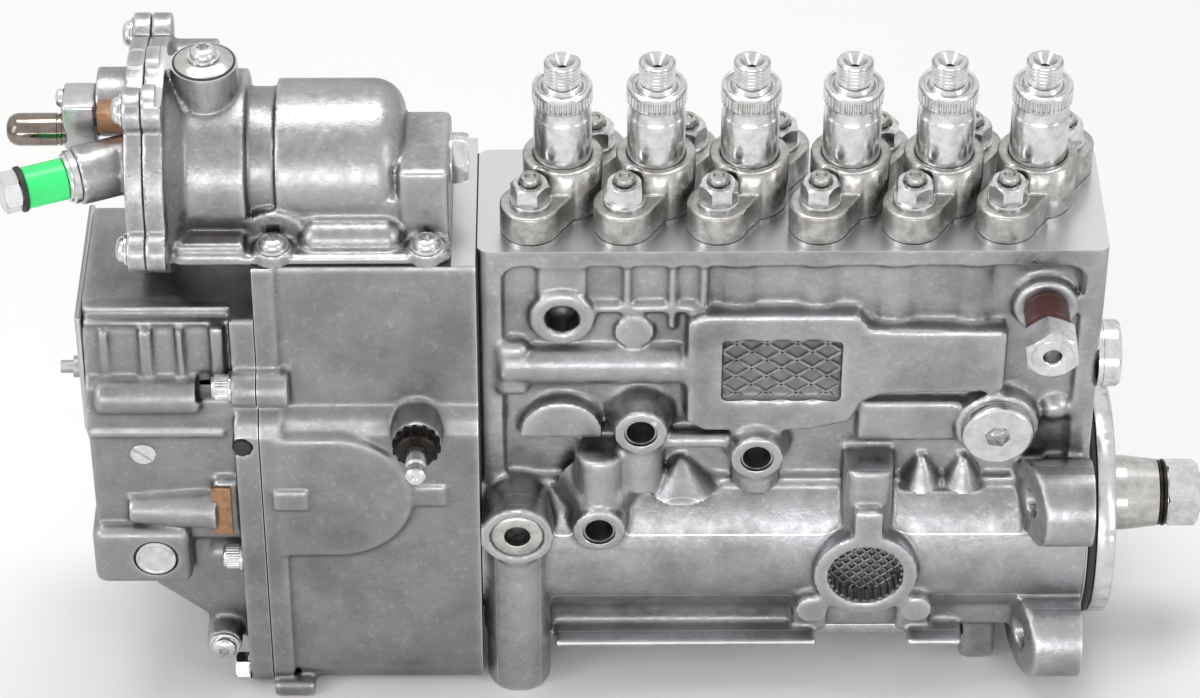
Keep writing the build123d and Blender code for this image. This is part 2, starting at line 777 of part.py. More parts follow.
def flange_nuts():
    """Twelve hexagon nuts with their washers."""
    solids = []
    for x in element_places():
        for i, (sx, sy) in enumerate(stud_places(x)):
            solids.append(ring("Z", flange_top, nut_z, sx, sy, stud_washer_r, stud_r + 0.2))
            nut = hexagon("Z", nut_z, nut_z + stud_nut_height, sx, sy, stud_nut_flats, 10 + 17 * i)
            nut &= rod("Z", nut_z, nut_z + stud_nut_height, sx, sy, stud_nut_flats / 2 + 3, stud_nut_flats / 2 + 0.6)
            solids.append(nut - rod("Z", nut_z - 1, stud_top, sx, sy, stud_r))
    return solids


def delivery_holder(x):
    """One delivery valve holder: body, shoulder, knurled collar and threaded outlet."""
    collar_top = holder_top_z - collar_drop
    neck_foot = collar_top - collar_height - shoulder_height
    holder = rod("Z", holder_seat_z, neck_foot, x, 0, bushing_bore_r)
    holder += rod("Z", ring_top + 0.2, neck_foot, x, 0, holder_body_r)
    holder += rod("Z", neck_foot, neck_foot + 1.2, x, 0, holder_body_r, holder_neck_r)
    holder += rod("Z", neck_foot + 1.2, collar_top, x, 0, holder_neck_r)
    collar = rod("Z", collar_top - collar_height, collar_top, x, 0, collar_r)
    holder += chamfer(collar.edges().filter_by(GeomType.CIRCLE), 1.2)
    holder += rod("Z", collar_top, holder_top_z - outlet_length, x, 0, outlet_r + 1.4)
    outlet = rod("Z", holder_top_z - outlet_length, holder_top_z, x, 0, outlet_r)
    holder += chamfer(outlet.edges().group_by(Axis.Z)[-1], 0.8)
    holder -= rod("Z", holder_seat_z - 1, holder_seat_z + 24, x, 0, valve_spring_r + valve_wire_r + 0.4)
    holder -= rod("Z", holder_seat_z, holder_top_z + 1, x, 0, outlet_bore_r - 1.0)
    holder -= rod("Z", holder_top_z - 3.0, holder_top_z, x, 0, outlet_bore_r - 1.0, outlet_bore_r + 1.6)
    return holder


def delivery_valve(x):
    """One delivery valve: a guide in the seat and a collar under the spring."""
    low = holder_seat_z - valve_seat_height + 1.0
    valve = rod("Z", low, holder_seat_z, x, 0, valve_r)
    valve += rod("Z", holder_seat_z, holder_seat_z + 3.0, x, 0, valve_spring_r + valve_wire_r)
    valve += rod("Z", holder_seat_z + 3.0, holder_seat_z + 6.0, x, 0, valve_spring_r - valve_wire_r - 0.4)
    return valve


def delivery_springs():
    """Six valve springs at their open length, seated in the holders."""
    height = 24.0 - 3.0 - valve_lift - free_gap
    spring = coil(valve_spring_r, valve_wire_r, height, 8)
    return [Pos(x, 0, holder_seat_z + 24.0 - height) * spring for x in element_places()]


def overflow_valve():
    """The long hexagon valve that points at the front, with its seat in the body."""
    face = -deck_depth - 2
    head = face - overflow_sleeve_length
    valve = hexagon("Y", head - overflow_head, head, overflow_x, overflow_z, overflow_hex, 8)
    valve &= rod("Y", head - overflow_head, head, overflow_x, overflow_z,
                 overflow_hex / 2 + 0.9, overflow_hex / 2 + 3)
    valve += rod("Y", head, -24, overflow_x, overflow_z, 5.5)
    return valve - rod("Y", head - overflow_head - 1, head - 2, overflow_x, overflow_z, overflow_bore_r)


def overflow_sleeve():
    """The brown plastic sleeve between body and hexagon."""
    face = -deck_depth - 2
    return ring("Y", face - overflow_sleeve_length, face, overflow_x, overflow_z, overflow_sleeve_r, 5.6)


def gallery_plug():
    """The aluminium plug with a hexagon socket."""
    face = -deck_depth - 4.5
    plug = rod("Y", face - plug_height, face, plug_x, plug_z, plug_r)
    plug = fillet(plug.edges().group_by(Axis.Y)[0], 1.6)
    plug += rod("Y", face, face + 10, plug_x, plug_z, plug_r - 3)
    return plug - hexagon("Y", face - plug_height - 1, face + 1, plug_x, plug_z, plug_hex, 20)


def steel_bush():
    """The steel bush in the lower left boss."""
    bush = rod("Y", -bush_face + 0.6, -bush_face + 16, bush_x, bush_z, bush_r)
    bush = chamfer(bush.edges().group_by(Axis.Y)[0], 1.0)
    return bush - rod("Y", -bush_face - 1, -bush_face + 17, bush_x, bush_z, bush_bore_r)


def governor_section(half, top, floor, high):
    """The outline of the governor across the camshaft, narrower at the top."""
    near = [(-top, high), (-top - 2, 84), (-half + 3, 80), (-half, 74),
            (-half, floor + 11), (-half + 3.5, floor + 3.5), (-half + 11, floor)]
    return near + [(-y, z) for y, z in reversed(near)]


def governor_inner(high):
    """The outline of the space inside the governor."""
    return governor_section(governor_half - governor_wall, governor_top - governor_wall,
                            governor_floor + governor_wall, high)


def governor_rim(high):
    """The outline of the joint flange."""
    return governor_section(governor_half + 2, governor_top + 1.5, governor_floor, high)


def cover_screw_places():
    """The cap screws of the cover, in Y and Z."""
    return [(side * y, z) for side in (-1, 1) for y, z in ((43.0, 94.0), (44.0, 8.0))]


def hex_bolt_places():
    """The hexagon bolts at the foot of the cover, in Y and Z."""
    return [(-hex_bolt_y, hex_bolt_z), (hex_bolt_y, hex_bolt_z)]


def cover_lugs(x0, x1):
    """The ears round the two upper cover screws."""
    return [rod("X", x0, x1, y, z, 8.0) for y, z in cover_screw_places() if z > 50]


def governor_housing():
    """The cast centre housing of the governor."""
    section = governor_section(governor_half, governor_top, governor_floor, deck_z)
    shell = across(section, governor_left, governor_right)
    shell = fillet(shell.edges().filter_by(Axis.X), 2.0)
    shell += fillet(across(governor_rim(deck_z), governor_left, governor_left + 8).edges().filter_by(Axis.X), 1.2)
    for ear in cover_lugs(governor_left, governor_left + 12):
        shell += ear
    shell += governor_pad()
    shell += soft_box(governor_left, governor_left + 16, -54, -governor_half + 6,
                      governor_floor, governor_floor + 7, 1.5)
    shell += rod("Y", -control_boss, -governor_half + 6, control_x, control_z, 9.5)
    shell += rod("Y", governor_half - 6, control_boss - 2, control_x, control_z, 9.5)
    shell -= across(governor_inner(deck_z - governor_wall), governor_left - 1, governor_right - 6)
    for side in (-1, 1):
        low, high = sorted((side * (governor_half - 12), side * (governor_half - 1)))
        shell += rod("Y", low, high, lever_x, lever_z, lever_shaft_r + 4) & across(
            governor_section(governor_half - 1, governor_top, governor_floor, deck_z), governor_left, governor_right)
        low, high = sorted((side * (governor_half - 13), side * (governor_half - 1.5)))
        shell -= rod("Y", low, high, lever_x, lever_z, lever_shaft_r + running_gap)
    shell -= rod("Y", -60, 60, control_x, control_z, control_shaft_r + running_gap)
    shell -= rod("X", governor_right - 7, governor_right + 1, 0, 0, cup_r)
    shell -= rod("X", governor_right - 7, governor_right + 1, rack_y, rack_z, rack_r + 1.0)
    shell -= rod("Z", deck_z - governor_wall - 1, deck_z + 1, link_x, 0, 14.0)
    for y, z in cover_screw_places() + hex_bolt_places():
        shell -= rod("X", governor_left - 1, governor_left + 10, y, z, screw_r)
    for x, y in base_screw_places():
        shell -= rod("Z", deck_z - governor_wall - 1, deck_z + 1, x, y, screw_r)
    return shell


def governor_pad():
    """The raised D-shaped pad on the front wall, with its two tabs."""
    face = -governor_half - pad_rise
    left = governor_left + 4
    pad = rod("Y", face, -governor_half + 1, pad_x, pad_z, pad_r)
    pad += box(left, pad_x, face, -governor_half + 1, pad_z - pad_r, pad_z + pad_r)
    pad &= box(left, governor_right, face, -governor_half + 1, pad_z - pad_r, pad_z + pad_r)
    pad = chamfer(pad.edges().group_by(Axis.Y)[0], 1.5)
    pad += box(left, left + 13, face - 1.6, face + 1, pad_z - 4.5, pad_z + 4.5)
    return pad + box(pad_x + pad_r - 1, pad_x + pad_r + 12, face + 1.0, -governor_half + 1, pad_z - 4.5, pad_z + 4.5)


def governor_cover():
    """The cast end cover of the governor: a flange, a stepped box and a bowl round the flyweights."""
    inner_face = cover_right - cover_flange
    shell = across(governor_rim(cover_top_z), inner_face, cover_right)
    shell = fillet(shell.edges().filter_by(Axis.X), 1.2)
    for ear in cover_lugs(inner_face, cover_right):
        shell += ear
    section = [(-28, cover_top_z), (-36, cover_top_z - 9), (-38, 96), (-42, 92), (-44, 80), (-44, 18), (-36, 10),
               (36, 10), (40, 18), (40, 92), (34, cover_top_z - 9), (28, cover_top_z)]
    block = across(section, cover_left, inner_face)
    shell += fillet(block.edges().filter_by(Axis.X), 2.0)
    shell += rod("X", cover_left + 18, inner_face, 0, 0, 34.0, 57.0) & box(
        cover_left, inner_face, -39, 39, governor_floor, 60)
    shell += fillet(rod("X", cover_left + 3, inner_face - 12, -38.5, 87.0, 8.0).edges(), 3.0)
    shell += soft_box(cover_left - 2.0, cover_left + 36, -50, -20, -2, 26, 4.0)
    shell += soft_box(inner_face - 10, inner_face + 4, -48, -34, 22, 50, 2.0)
    shell += rod("Y", -48, -30, torx_x, torx_z, 7.0)
    shell -= across(governor_inner(cover_top_z - cover_wall), inner_face + 3, cover_right + 1)
    cavity = [(y * 0.88, cover_wall + z * 0.94) for y, z in section]
    shell -= across(cavity, cover_left + cover_wall, inner_face + 4)
    shell -= rod("X", cover_left + 18 + cover_wall, inner_face + 4, 0, 0, 30.0, 53.0) & box(
        cover_left, inner_face + 4, -35, 35, governor_floor + cover_wall, 60)
    for y, z in cover_screw_places():
        shell -= rod("X", inner_face - 14, inner_face, y, z, screw_head_r + 1.5)
    for y, z in cover_screw_places() + hex_bolt_places():
        shell -= rod("X", inner_face - 1, cover_right + 1, y, z, screw_r)
    shell -= rod("Y", -60, -44, slot_plug[0], slot_plug[1], slot_plug[2])
    shell -= rod("Y", -51, -47, core_plug[0], core_plug[1], core_plug[2])
    shell -= rod("Y", -60, -44, rubber_plug[0], rubber_plug[1], rubber_plug[2])
    shell -= rod("Y", -49, -38, torx_x, torx_z, screw_r)
    shell -= rod("X", cover_left - 3, cover_left + 3, end_stud_y, end_stud_z, end_plate_stud_r)
    return shell


def cover_plugs():
    """The slotted plug, the pressed core plug and the rubber plug in the cover."""
    x, z, r = slot_plug
    slotted = rod("Y", -45.0, -44.0, x, z, r) - box(x - 0.7, x + 0.7, -46, -44.5, z - r, z + r)
    x, z, r = core_plug
    core = rod("Y", -50.4, -47, x, z, r)
    core = fillet(core.edges().group_by(Axis.Y)[0], 0.8)
    x, z, r = rubber_plug
    rubber = rod("Y", -51.6, -44, x, z, r)
    return [slotted, core, fillet(rubber.edges().group_by(Axis.Y)[0], 1.0)]


def gaskets():
    """The flat gaskets between pump, governor, cover and boost compensator."""
    body = box(governor_right, pump_left, -deck_depth + 1, deck_depth - 1, 0, deck_z - 1)
    body += rod("X", governor_right, pump_left, 0, 0, cam_box_r - 1)
    body &= box(governor_right, pump_left, -cam_box_r, cam_box_r, base_z, deck_z)
    body -= rod("X", governor_right - 1, pump_left + 1, 0, 0, cup_r + 1)
    body -= rod("X", governor_right - 1, pump_left + 1, rack_y, rack_z, rack_r + 1.5)
    section = governor_section(governor_half, governor_top, governor_floor, cover_top_z - 1)
    low = across(section, cover_right, governor_left)
    low -= across(governor_section(governor_half - 6, governor_top - 6, governor_floor + 6, cover_top_z - 7),
                  cover_right - 1, governor_left + 1)
    for y, z in cover_screw_places() + hex_bolt_places():
        low -= rod("X", cover_right - 1, governor_left + 1, y, z, screw_r + 0.3)
    top = box(boost_base_left, boost_base_right, -boost_base_half, boost_base_half, deck_z, boost_base_z)
    for x, y in base_screw_places():
        top -= rod("Z", deck_z - 1, boost_base_z + 1, x, y, screw_r)
    return [body, low, top - rod("Z", deck_z - 1, boost_base_z + 1, link_x, 0, 14.0)]


def end_plate():
    """The pressed plate on the end of the cover, and its stud."""
    x = cover_left - end_plate_thickness
    plate = soft_box(x, cover_left, -36, 34, 66, cover_top_z - 3, 1.0)
    plate -= rod("X", x - 1, cover_left + 1, end_stud_y, end_stud_z, end_plate_stud_r)
    stud = rod("X", x - 9, cover_left + 3, end_stud_y, end_stud_z, end_plate_stud_r)
    nut = ring("X", x - 4, x, end_stud_y, end_stud_z, 4.2, end_plate_stud_r)
    return [plate, stud, nut]


def flyweight_carrier():
    """The hub on the governor end of the camshaft, with two guide pins and their nuts."""
    hub = ring("X", hub_x - hub_half, hub_x + hub_half, 0, 0, hub_r, governor_shaft_r)
    reach = weight_outer + weight_travel + 2
    for side in (-1, 1):
        low, high = sorted((side * (governor_shaft_r + 0.5), side * (reach + 3)))
        hub += rod("Z", low, high, hub_x, 0, pin_r)
        low, high = sorted((side * reach, side * (reach + 4)))
        hub += rod("Z", low, high, hub_x, 0, weight_nut_r)
    return hub


def flyweight(side):
    """One flyweight that slides on its guide pin."""
    low, high = sorted((side * weight_inner, side * weight_outer))
    weight = box(hub_x - weight_length / 2, hub_x + weight_length / 2, -weight_half, weight_half, low, high)
    weight = fillet(weight.edges().filter_by(Axis.X), 3.0)
    return weight - rod("Z", low - 1, high + 1, hub_x, 0, pin_r + running_gap)


def sliding_sleeve():
    """The thrust sleeve that the flyweights move along the shaft tip."""
    right = hub_x - hub_half - lever_travel() - 1.0
    left = right - sliding_sleeve_length
    sleeve = rod("X", left, right, 0, 0, sliding_sleeve_r)
    sleeve -= ring("X", lever_x - lever_slot, lever_x + lever_slot, 0, 0, sliding_sleeve_r + 1, sliding_neck_r)
    return sleeve - rod("X", lever_x - lever_travel() - 1, right + 1, 0, 0, shaft_tip_r + running_gap)


def lever_travel():
    """How far the sliding sleeve moves each way when the rack moves its full travel."""
    return rack_travel * lever_z / (rack_z - lever_z)


def governor_lever():
    """The lever from the sliding sleeve to the rack, with its cross shaft."""
    lever = rod("Y", -governor_half + 2, governor_half - 2, lever_x, lever_z, lever_shaft_r)
    lever += rod("Y", lever_arm_y - 2, lever_side + 2.5, lever_x, lever_z, 9.0)
    for side in (-1, 1):
        low, high = sorted((side * (lever_side - 2.5), side * (lever_side + 2.5)))
        lever += box(lever_x - 4, lever_x + 4, low, high, -4, lever_z)
        low, high = sorted((side * (sliding_neck_r + 1), side * lever_side))
        lever += rod("Y", low, high, lever_x, 0, lever_pin_r)
    lever += box(lever_x - 5, lever_x + 5, lever_arm_y - 2, lever_arm_y + 2, lever_z, rack_z + 5)
    return lever + rod("Y", lever_arm_y, rack_y, lever_x, rack_z, lever_pin_r)


def control_shaft():
    """The control shaft, the toothed ring at its front end and the lever at its rear end."""
    shaft = rod("Y", -control_front, control_rear, control_x, control_z, control_shaft_r)
    shaft -= box(control_x - 6, control_x + 6, -control_front - 1, -control_front + 9, control_z + 2.4, control_z + 6)
    collar = rod("Y", -control_boss - 6.0, -control_boss - 0.4, control_x, control_z, 8.2)
    for i in range(12):
        angle = radians(30 * i)
        tooth = rod("Y", -control_boss - 6.0, -control_boss - 3.5, control_x + 8.2 * cos(angle),
                    control_z + 8.2 * sin(angle), 1.4)
        collar += tooth
    collar -= rod("Y", -control_front, control_rear, control_x, control_z, control_shaft_r)
    rear = control_rear - 1
    lever = rod("Y", rear - 6, rear, control_x, control_z, 9.0)
    top = control_z + control_lever_reach
    lever += box(control_x - 6, control_x + 6, rear - 6, rear, control_z, top)
    lever += rod("Y", rear - 6, rear, control_x, top, 7.5)
    lever -= rod("Y", rear - 7, rear + 1, control_x, top, control_lever_hole)
    return [shaft, collar, lever - rod("Y", rear - 7, rear + 1, control_x, control_z, control_shaft_r)]


def boost_outline(x0, x1):
    """A slice of the boost flange: a disc with an ear for each screw, flat above the governor."""
    slab = rod("X", x0, x1, 0, boost_z, boost_disc_r)
    for y, z in boost_screw_places():
        slab += rod("X", x0, x1, y, z, boost_ear_r)
    return slab & box(x0, x1, -60, 60, boost_underside, 240)


def boost_screw_places():
    """The screws round the boost flange, in Y and Z."""
    angles = [radians(degrees) for degrees in boost_screw_angles]
    return [(boost_pitch_r * cos(a), boost_z + boost_pitch_r * sin(a)) for a in angles]


def base_screw_places():
    """The screws of the boost base, in X and Y."""
    side = boost_base_half - 4.8
    return [(x, y) for x in (boost_base_left + 8, boost_base_right - 9) for y in (-side, side)]


def boost_barrel():
    """The outside of the boost housing: drum, neck, barrel with a rounded shoulder, and end block."""
    z0 = boost_base_z
    right = boost_base_right - 0.5
    shoulder = right - 16.5
    body = rod("X", boost_flange_x, boost_flange_x + 7, 0, boost_z, 42.0, boost_drum_r)
    body += rod("X", boost_flange_x, neck_left, 0, boost_z, boost_drum_r)
    body += rod("X", boost_flange_x, -332.0, 20.0, boost_z + 28, 8.7)
    body += rod("X", neck_left - 1, barrel_left + 1, 0, boost_z, boost_neck_r)
    body += box(neck_left, barrel_left, -boost_neck_r, boost_neck_r, z0, boost_z)
    barrel = rod("X", barrel_left, shoulder, 0, boost_z, barrel_outer_r)
    body += fillet(barrel.edges().group_by(Axis.X)[-1], 12.0)
    body += soft_box(barrel_left, right, 0.7 - barrel_outer_r, barrel_outer_r - 0.7, z0 - 5, boost_z, 2.5)
    body += soft_box(shoulder - 2, right, -barrel_outer_r - 0.5, 10.0, z0 + 2, boost_z + 12.6, 2.0)
    body += rod("Z", boost_z, turret_z, turret_x, turret_y, turret_r)
    for side in (-1, 1):
        pod = rod("X", -302.0, -263.5, side * (barrel_outer_r + 0.5), z0 + 5.5, 7.0)
        body += fillet(pod.edges(), 6.5)
    return body - box(boost_base_left - 1, boost_base_right + 1, -boost_base_half, boost_base_half,
                      boost_z - barrel_outer_r - 5, z0)


def boost_housing():
    """The cast housing of the boost compensator on top of the governor."""
    z0 = boost_base_z
    base = box(boost_flange_x, boost_base_right, -boost_base_half, boost_base_half, z0, z0 + boost_base_height)
    shell = fillet(base.edges().filter_by(Axis.Z), 5.0) + boost_barrel()
    shell += boost_outline(boost_flange_x - boost_flange_thickness, boost_flange_x)
    for x, y in base_screw_places():
        shell += rod("Z", z0, z0 + boost_base_height + 1.5, x, y, 7.0)
        shell -= rod("Z", z0 - 1, z0 + 12, x, y, screw_r)
    shell -= rod("X", boost_flange_x - boost_flange_thickness - 1, boost_flange_x - 2, 0, boost_z, diaphragm_r)
    shell -= rod("X", boost_flange_x - 3, boost_flange_x + 14, 0, boost_z, 34.0, 20.0)
    shell -= rod("X", boost_flange_x, spring_seat_x, 0, boost_z, 19.0)
    shell -= rod("X", spring_seat_x - 1, boost_base_right - 8, 0, boost_z, boost_rod_r + running_gap)
    shell -= rod("Z", z0 - 1, boost_z, link_x, 0, 11.0) - rod("X", -300, -260, 0, boost_z, 12.0)
    shell -= rod("X", boost_flange_x - boost_flange_thickness - 1, diaphragm_x + diaphragm_thickness, 0, boost_z,
                 diaphragm_r + 5)
    for y, z in boost_screw_places():
        shell -= rod("X", boost_flange_x - boost_flange_thickness - 1, boost_flange_x - 3, y, z, screw_r)
    shell -= rod("Z", turret_z - 8, turret_z + 1, turret_x, turret_y, screw_r)
    return shell - rod("X", boost_base_right - 6.5, boost_base_right, end_plug_y, boost_z, end_plug_r)


def boost_end_plug():
    """The hexagon plug on the axis at the right end of the boost housing, with its gasket ring."""
    face = boost_base_right - 0.5
    gasket = ring("X", face, face + 0.8, end_plug_y, boost_z, 9.5, end_plug_r)
    head = hexagon("X", face + 0.8, face + 7, end_plug_y, boost_z, end_plug_flats, 10)
    head &= rod("X", face + 0.8, face + 7, end_plug_y, boost_z, end_plug_flats / 2 + 3, end_plug_flats / 2 + 0.4)
    return [gasket, head + rod("X", face - 6, face + 0.8, end_plug_y, boost_z, end_plug_r)]


def boost_cover():
    """The cover of the boost compensator: plate, dome and pressure port."""
    x1 = diaphragm_x
    x0 = boost_cover_x
    shell = boost_outline(x0, x1)
    shell += rod("X", x0 - dome_length, x0 + 1, 6.0, boost_z + 20, 13.0)
    shell += tilted(rod("X", -port_boss_length, 12, 0, 0, 11.0)) & box(x0 - 40, x0 + 1, -80, 60, 100, 260)
    shell -= rod("X", x1 - 4.5, x1 + 1, 0, boost_z, diaphragm_r - 4)
    shell -= tilted(rod("X", -port_boss_length - 1, 12, 0, 0, 5.0))
    for y, z in boost_screw_places():
        shell -= rod("X", x0 - 1, x1 + 1, y, z, screw_r)
    return shell


def tilted(shape):
    """Places a shape of the pressure port, which leans towards the front."""
    return Pos(boost_cover_x, boost_port_y, boost_z + boost_port_rise) * Rot(0, 0, boost_port_tilt) * shape


def boost_port_bolt():
    """The hexagon bolt in the pressure port and its two washers."""
    sleeve_right = -port_boss_length - port_washer
    sleeve_left = sleeve_right - green_length
    start = sleeve_left - port_small_washer
    head = hexagon("X", start - port_head, start, 0, 0, port_flats, 15)
    head &= rod("X", start - port_head, start, 0, 0, port_flats / 2 + 0.1, port_flats / 2 + 2.5)
    bolt = head + rod("X", start, -4.0, 0, 0, 5.0 - running_gap)
    washers = [ring("X", sleeve_right, -port_boss_length, 0, 0, 10.2, 5.0), ring("X", start, sleeve_left, 0, 0, 8.6, 5.0)]
    return [tilted(piece) for piece in [bolt] + washers]


def boost_port_sleeve():
    """The green sleeve between the port's two washers."""
    right = -port_boss_length - port_washer
    return tilted(ring("X", right - green_length, right, 0, 0, green_r, 5.0))


def stop_block():
    """The block beside the dome, its screw and the steel pin with the rounded end."""
    x1 = boost_cover_x - dome_length
    left = x1 - 12.5
    block = soft_box(left, x1, -8, 8, boost_z + 7.5, boost_z + 28, 1.5)
    pin = rod("X", left - steel_pin_length, left, -3.0, boost_z + 14, steel_pin_r)
    pin = fillet(pin.edges().group_by(Axis.X)[0], 3.5)
    screw = rod("X", left - 3, left, 3, boost_z + 24, 3.6)
    return [block, pin, fillet(screw.edges().group_by(Axis.X)[0], 1.2)]


def turret_dish():
    """The bright conical cap on the turret."""
    dish = rod("Z", turret_z, turret_z + 2.5, turret_x, turret_y, dish_r, dish_r - 4.0)
    return dish - rod("Z", turret_z - 1, turret_z + 4, turret_x, turret_y, screw_r)


def boost_rod():
    """The rod with its two diaphragm plates."""
    plate_r = diaphragm_r - 10
    rod_end = boost_base_right - 10 - boost_travel
    bar = rod("X", diaphragm_x - 4, rod_end, 0, boost_z, boost_rod_r)
    right = rod("X", diaphragm_x + diaphragm_thickness, diaphragm_x + diaphragm_thickness + 2, 0, boost_z, plate_r)
    left = rod("X", diaphragm_x - 2, diaphragm_x, 0, boost_z, plate_r)
    return [bar + right + left]


def boost_diaphragm():
    """The thin diaphragm clamped between housing and cover."""
    return ring("X", diaphragm_x, diaphragm_x + diaphragm_thickness, 0, boost_z,
                diaphragm_r + 4.8, boost_rod_r + 0.05)


def boost_spring():
    """The spring that pushes the diaphragm back."""
    start = diaphragm_x + diaphragm_thickness + 2
    spring = coil(14.0, 1.2, spring_seat_x - start, 6)
    return Pos(start, 0, boost_z) * Rot(0, 90, 0) * spring


def pan_screw(direction, face, a, b, outwards):
    """A Torx pan screw with its washer; the head stands on the face."""
    spans = [(0, 1.2, 6.2), (1.2, 4.4, 5.0)]
    solids = []
    for low, high, r in spans:
        start, end = sorted((face + outwards * low, face + outwards * high))
        solids.append(rod(direction, start, end, a, b, r))
    start, end = sorted((face, face - outwards * 9))
    head = solids[1]
    if outwards > 0:
        head = fillet(head.edges().group_by(Axis.Z if direction == "Z" else Axis.X)[-1], 2.0)
    else:
        head = fillet(head.edges().group_by(Axis.X if direction == "X" else Axis.Y)[0], 2.0)
    return solids[0] + head + rod(direction, start, end, a, b, screw_r - 0.01)


def torx_screws():
    """Every Torx pan screw: boost cover, boost base, turret and governor cover."""
    screws = [pan_screw("X", boost_cover_x, y, z, -1) for y, z in boost_screw_places()]
    top = boost_base_z + boost_base_height + 1.5
    screws += [pan_screw("Z", top, x, y, 1) for x, y in base_screw_places()]
    screws.append(pan_screw("Z", turret_z + 2.5, turret_x, turret_y, 1))
    screws.append(pan_screw("Y", -48.0, torx_x, torx_z, -1))
    return screws


def cover_screws():
    """The cap screws of the governor cover, its two hexagon bolts and the base plate screws."""
    face = cover_right - cover_flange
    screws = []
    for y, z in cover_screw_places():
        screw = rod("X", face - 8, face, y, z, screw_head_r)
        screw = chamfer(screw.edges().group_by(Axis.X)[0], 0.6)
        screw += rod("X", face - 1.6, face, y, z, screw_head_r + 1.2)
        screw += rod("X", face, governor_left + 9, y, z, screw_r - 0.01)
        screws.append(screw - hexagon("X", face - 9, face - 4, y, z, 5.0))
    for y, z in hex_bolt_places():
        bolt = hexagon("X", face - 6, face, y, z, 10.0, 10)
        screws.append(bolt + rod("X", face, governor_left + 9, y, z, screw_r - 0.01))
    low = base_z - base_plate_thickness
    for x, y in plate_screw_places():
        screws.append(rod("Z", low - 3.5, low, x, y, 5.0) + rod("Z", low, base_z + 8, x, y, screw_r - 0.01))
    return screws


def plate_screw_places():
    """The screws of the base plate, in X and Y."""
    return [(x, y) for x in (base_left + 8, (base_left + base_right) / 2, base_right - 8) for y in (-31.5, 31.5)]


def copper_clips():
    """The two copper-coloured clips."""
    face = cover_right - cover_flange
    low = box(face - 10.5, face - 3, -49.4, -48.0, 24, 48) + box(face - 10.5, face - 9, -49.4, -44, 24, 48)
    low -= box(face - 11, face - 2, -48.0, -30, 22, 50)
    high = box(boost_cover_x - 11, boost_cover_x, -16, -7.4, boost_z + 21.8, boost_z + 31)
    return [low, high]


def build():
    """Every node with its solids."""
    places = element_places()
    nodes = {
        "pump_housing": [pump_housing()],
        "base_plate": [base_plate()],
        "bearing_cover": [bearing_cover()],
        "seals": seals(),
        "bearing_cups": bearing_cups(),
        "bearing_cones": bearing_cones(),
        "camshaft": [camshaft()],
        "drive_nut": [drive_nut()],
        "lock_washer": [lock_washer()],
        "tappets": tappets(),
        "plunger_springs": plunger_springs(),
        "plunger_barrels": plunger_barrels(),
        "flange_bushings": flange_bushings(),
        "bushing_shims": bushing_shims(),
        "flange_studs": flange_studs(),
        "flange_nuts": flange_nuts(),
        "delivery_holders": [delivery_holder(x) for x in places],
        "delivery_springs": delivery_springs(),
        "control_rack": [control_rack()],
        "rack_cap": [rack_cap()],
        "overflow_valve": [overflow_valve()],
        "overflow_sleeve": [overflow_sleeve()],
        "gallery_plug": [gallery_plug()],
        "steel_bush": [steel_bush()],
        "governor_housing": [governor_housing()],
        "governor_cover": [governor_cover()],
        "gaskets": gaskets(),
        "end_plate": end_plate(),
        "cover_plugs": cover_plugs(),
        "copper_clips": copper_clips(),
        "cover_screws": cover_screws(),
        "torx_screws": torx_screws(),
        "flyweight_carrier": [flyweight_carrier()],
        "flyweight_1": [flyweight(1)],
        "flyweight_2": [flyweight(-1)],
        "sliding_sleeve": [sliding_sleeve()],
        "governor_lever": [governor_lever()],
        "control_shaft": control_shaft(),
        "boost_housing": [boost_housing()],
        "boost_cover": [boost_cover()],
        "boost_diaphragm": [boost_diaphragm()],
        "boost_rod": boost_rod(),
        "boost_spring": [boost_spring()],
        "boost_port_bolt": boost_port_bolt(),
        "boost_port_sleeve": [boost_port_sleeve()],
        "boost_end_plug": boost_end_plug(),
        "stop_block": stop_block(),
        "turret_dish": [turret_dish()],
    }
    for i, x in enumerate(places, start=1):
        nodes[f"element_{i}"] = element(x)
        nodes[f"delivery_valve_{i}"] = [delivery_valve(x)]
    return nodes


def main():
    """Write one STEP file for each node."""
    os.makedirs("parts", exist_ok=True)
    for name, solids in build().items():
        export_step(Compound(solids) if len(solids) > 1 else solids[0], f"parts/{name}.step")


main()
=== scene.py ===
import json
import math
import bmesh
import bpy
from mathutils import Euler, Matrix, Vector


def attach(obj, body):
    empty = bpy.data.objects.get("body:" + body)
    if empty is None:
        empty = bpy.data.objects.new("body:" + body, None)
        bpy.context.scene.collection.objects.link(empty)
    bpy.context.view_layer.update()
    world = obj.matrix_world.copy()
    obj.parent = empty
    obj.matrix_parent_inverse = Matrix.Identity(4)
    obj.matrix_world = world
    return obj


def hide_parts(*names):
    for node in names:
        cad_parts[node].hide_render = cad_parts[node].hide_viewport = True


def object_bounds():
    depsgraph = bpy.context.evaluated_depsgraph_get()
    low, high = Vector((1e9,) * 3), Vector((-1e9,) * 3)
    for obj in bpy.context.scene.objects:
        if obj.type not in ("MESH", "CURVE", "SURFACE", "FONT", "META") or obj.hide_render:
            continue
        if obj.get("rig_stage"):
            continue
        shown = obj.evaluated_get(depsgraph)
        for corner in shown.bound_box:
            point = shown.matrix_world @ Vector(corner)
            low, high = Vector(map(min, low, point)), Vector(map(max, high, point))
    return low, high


# %% [markdown]
# A diesel injection pump, dressed from its CAD model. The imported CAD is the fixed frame: every piece
# below is made in the same place, in metres, and rides on one of its bodies. Its box is kept first,
# because the dressed model has to stay inside it.

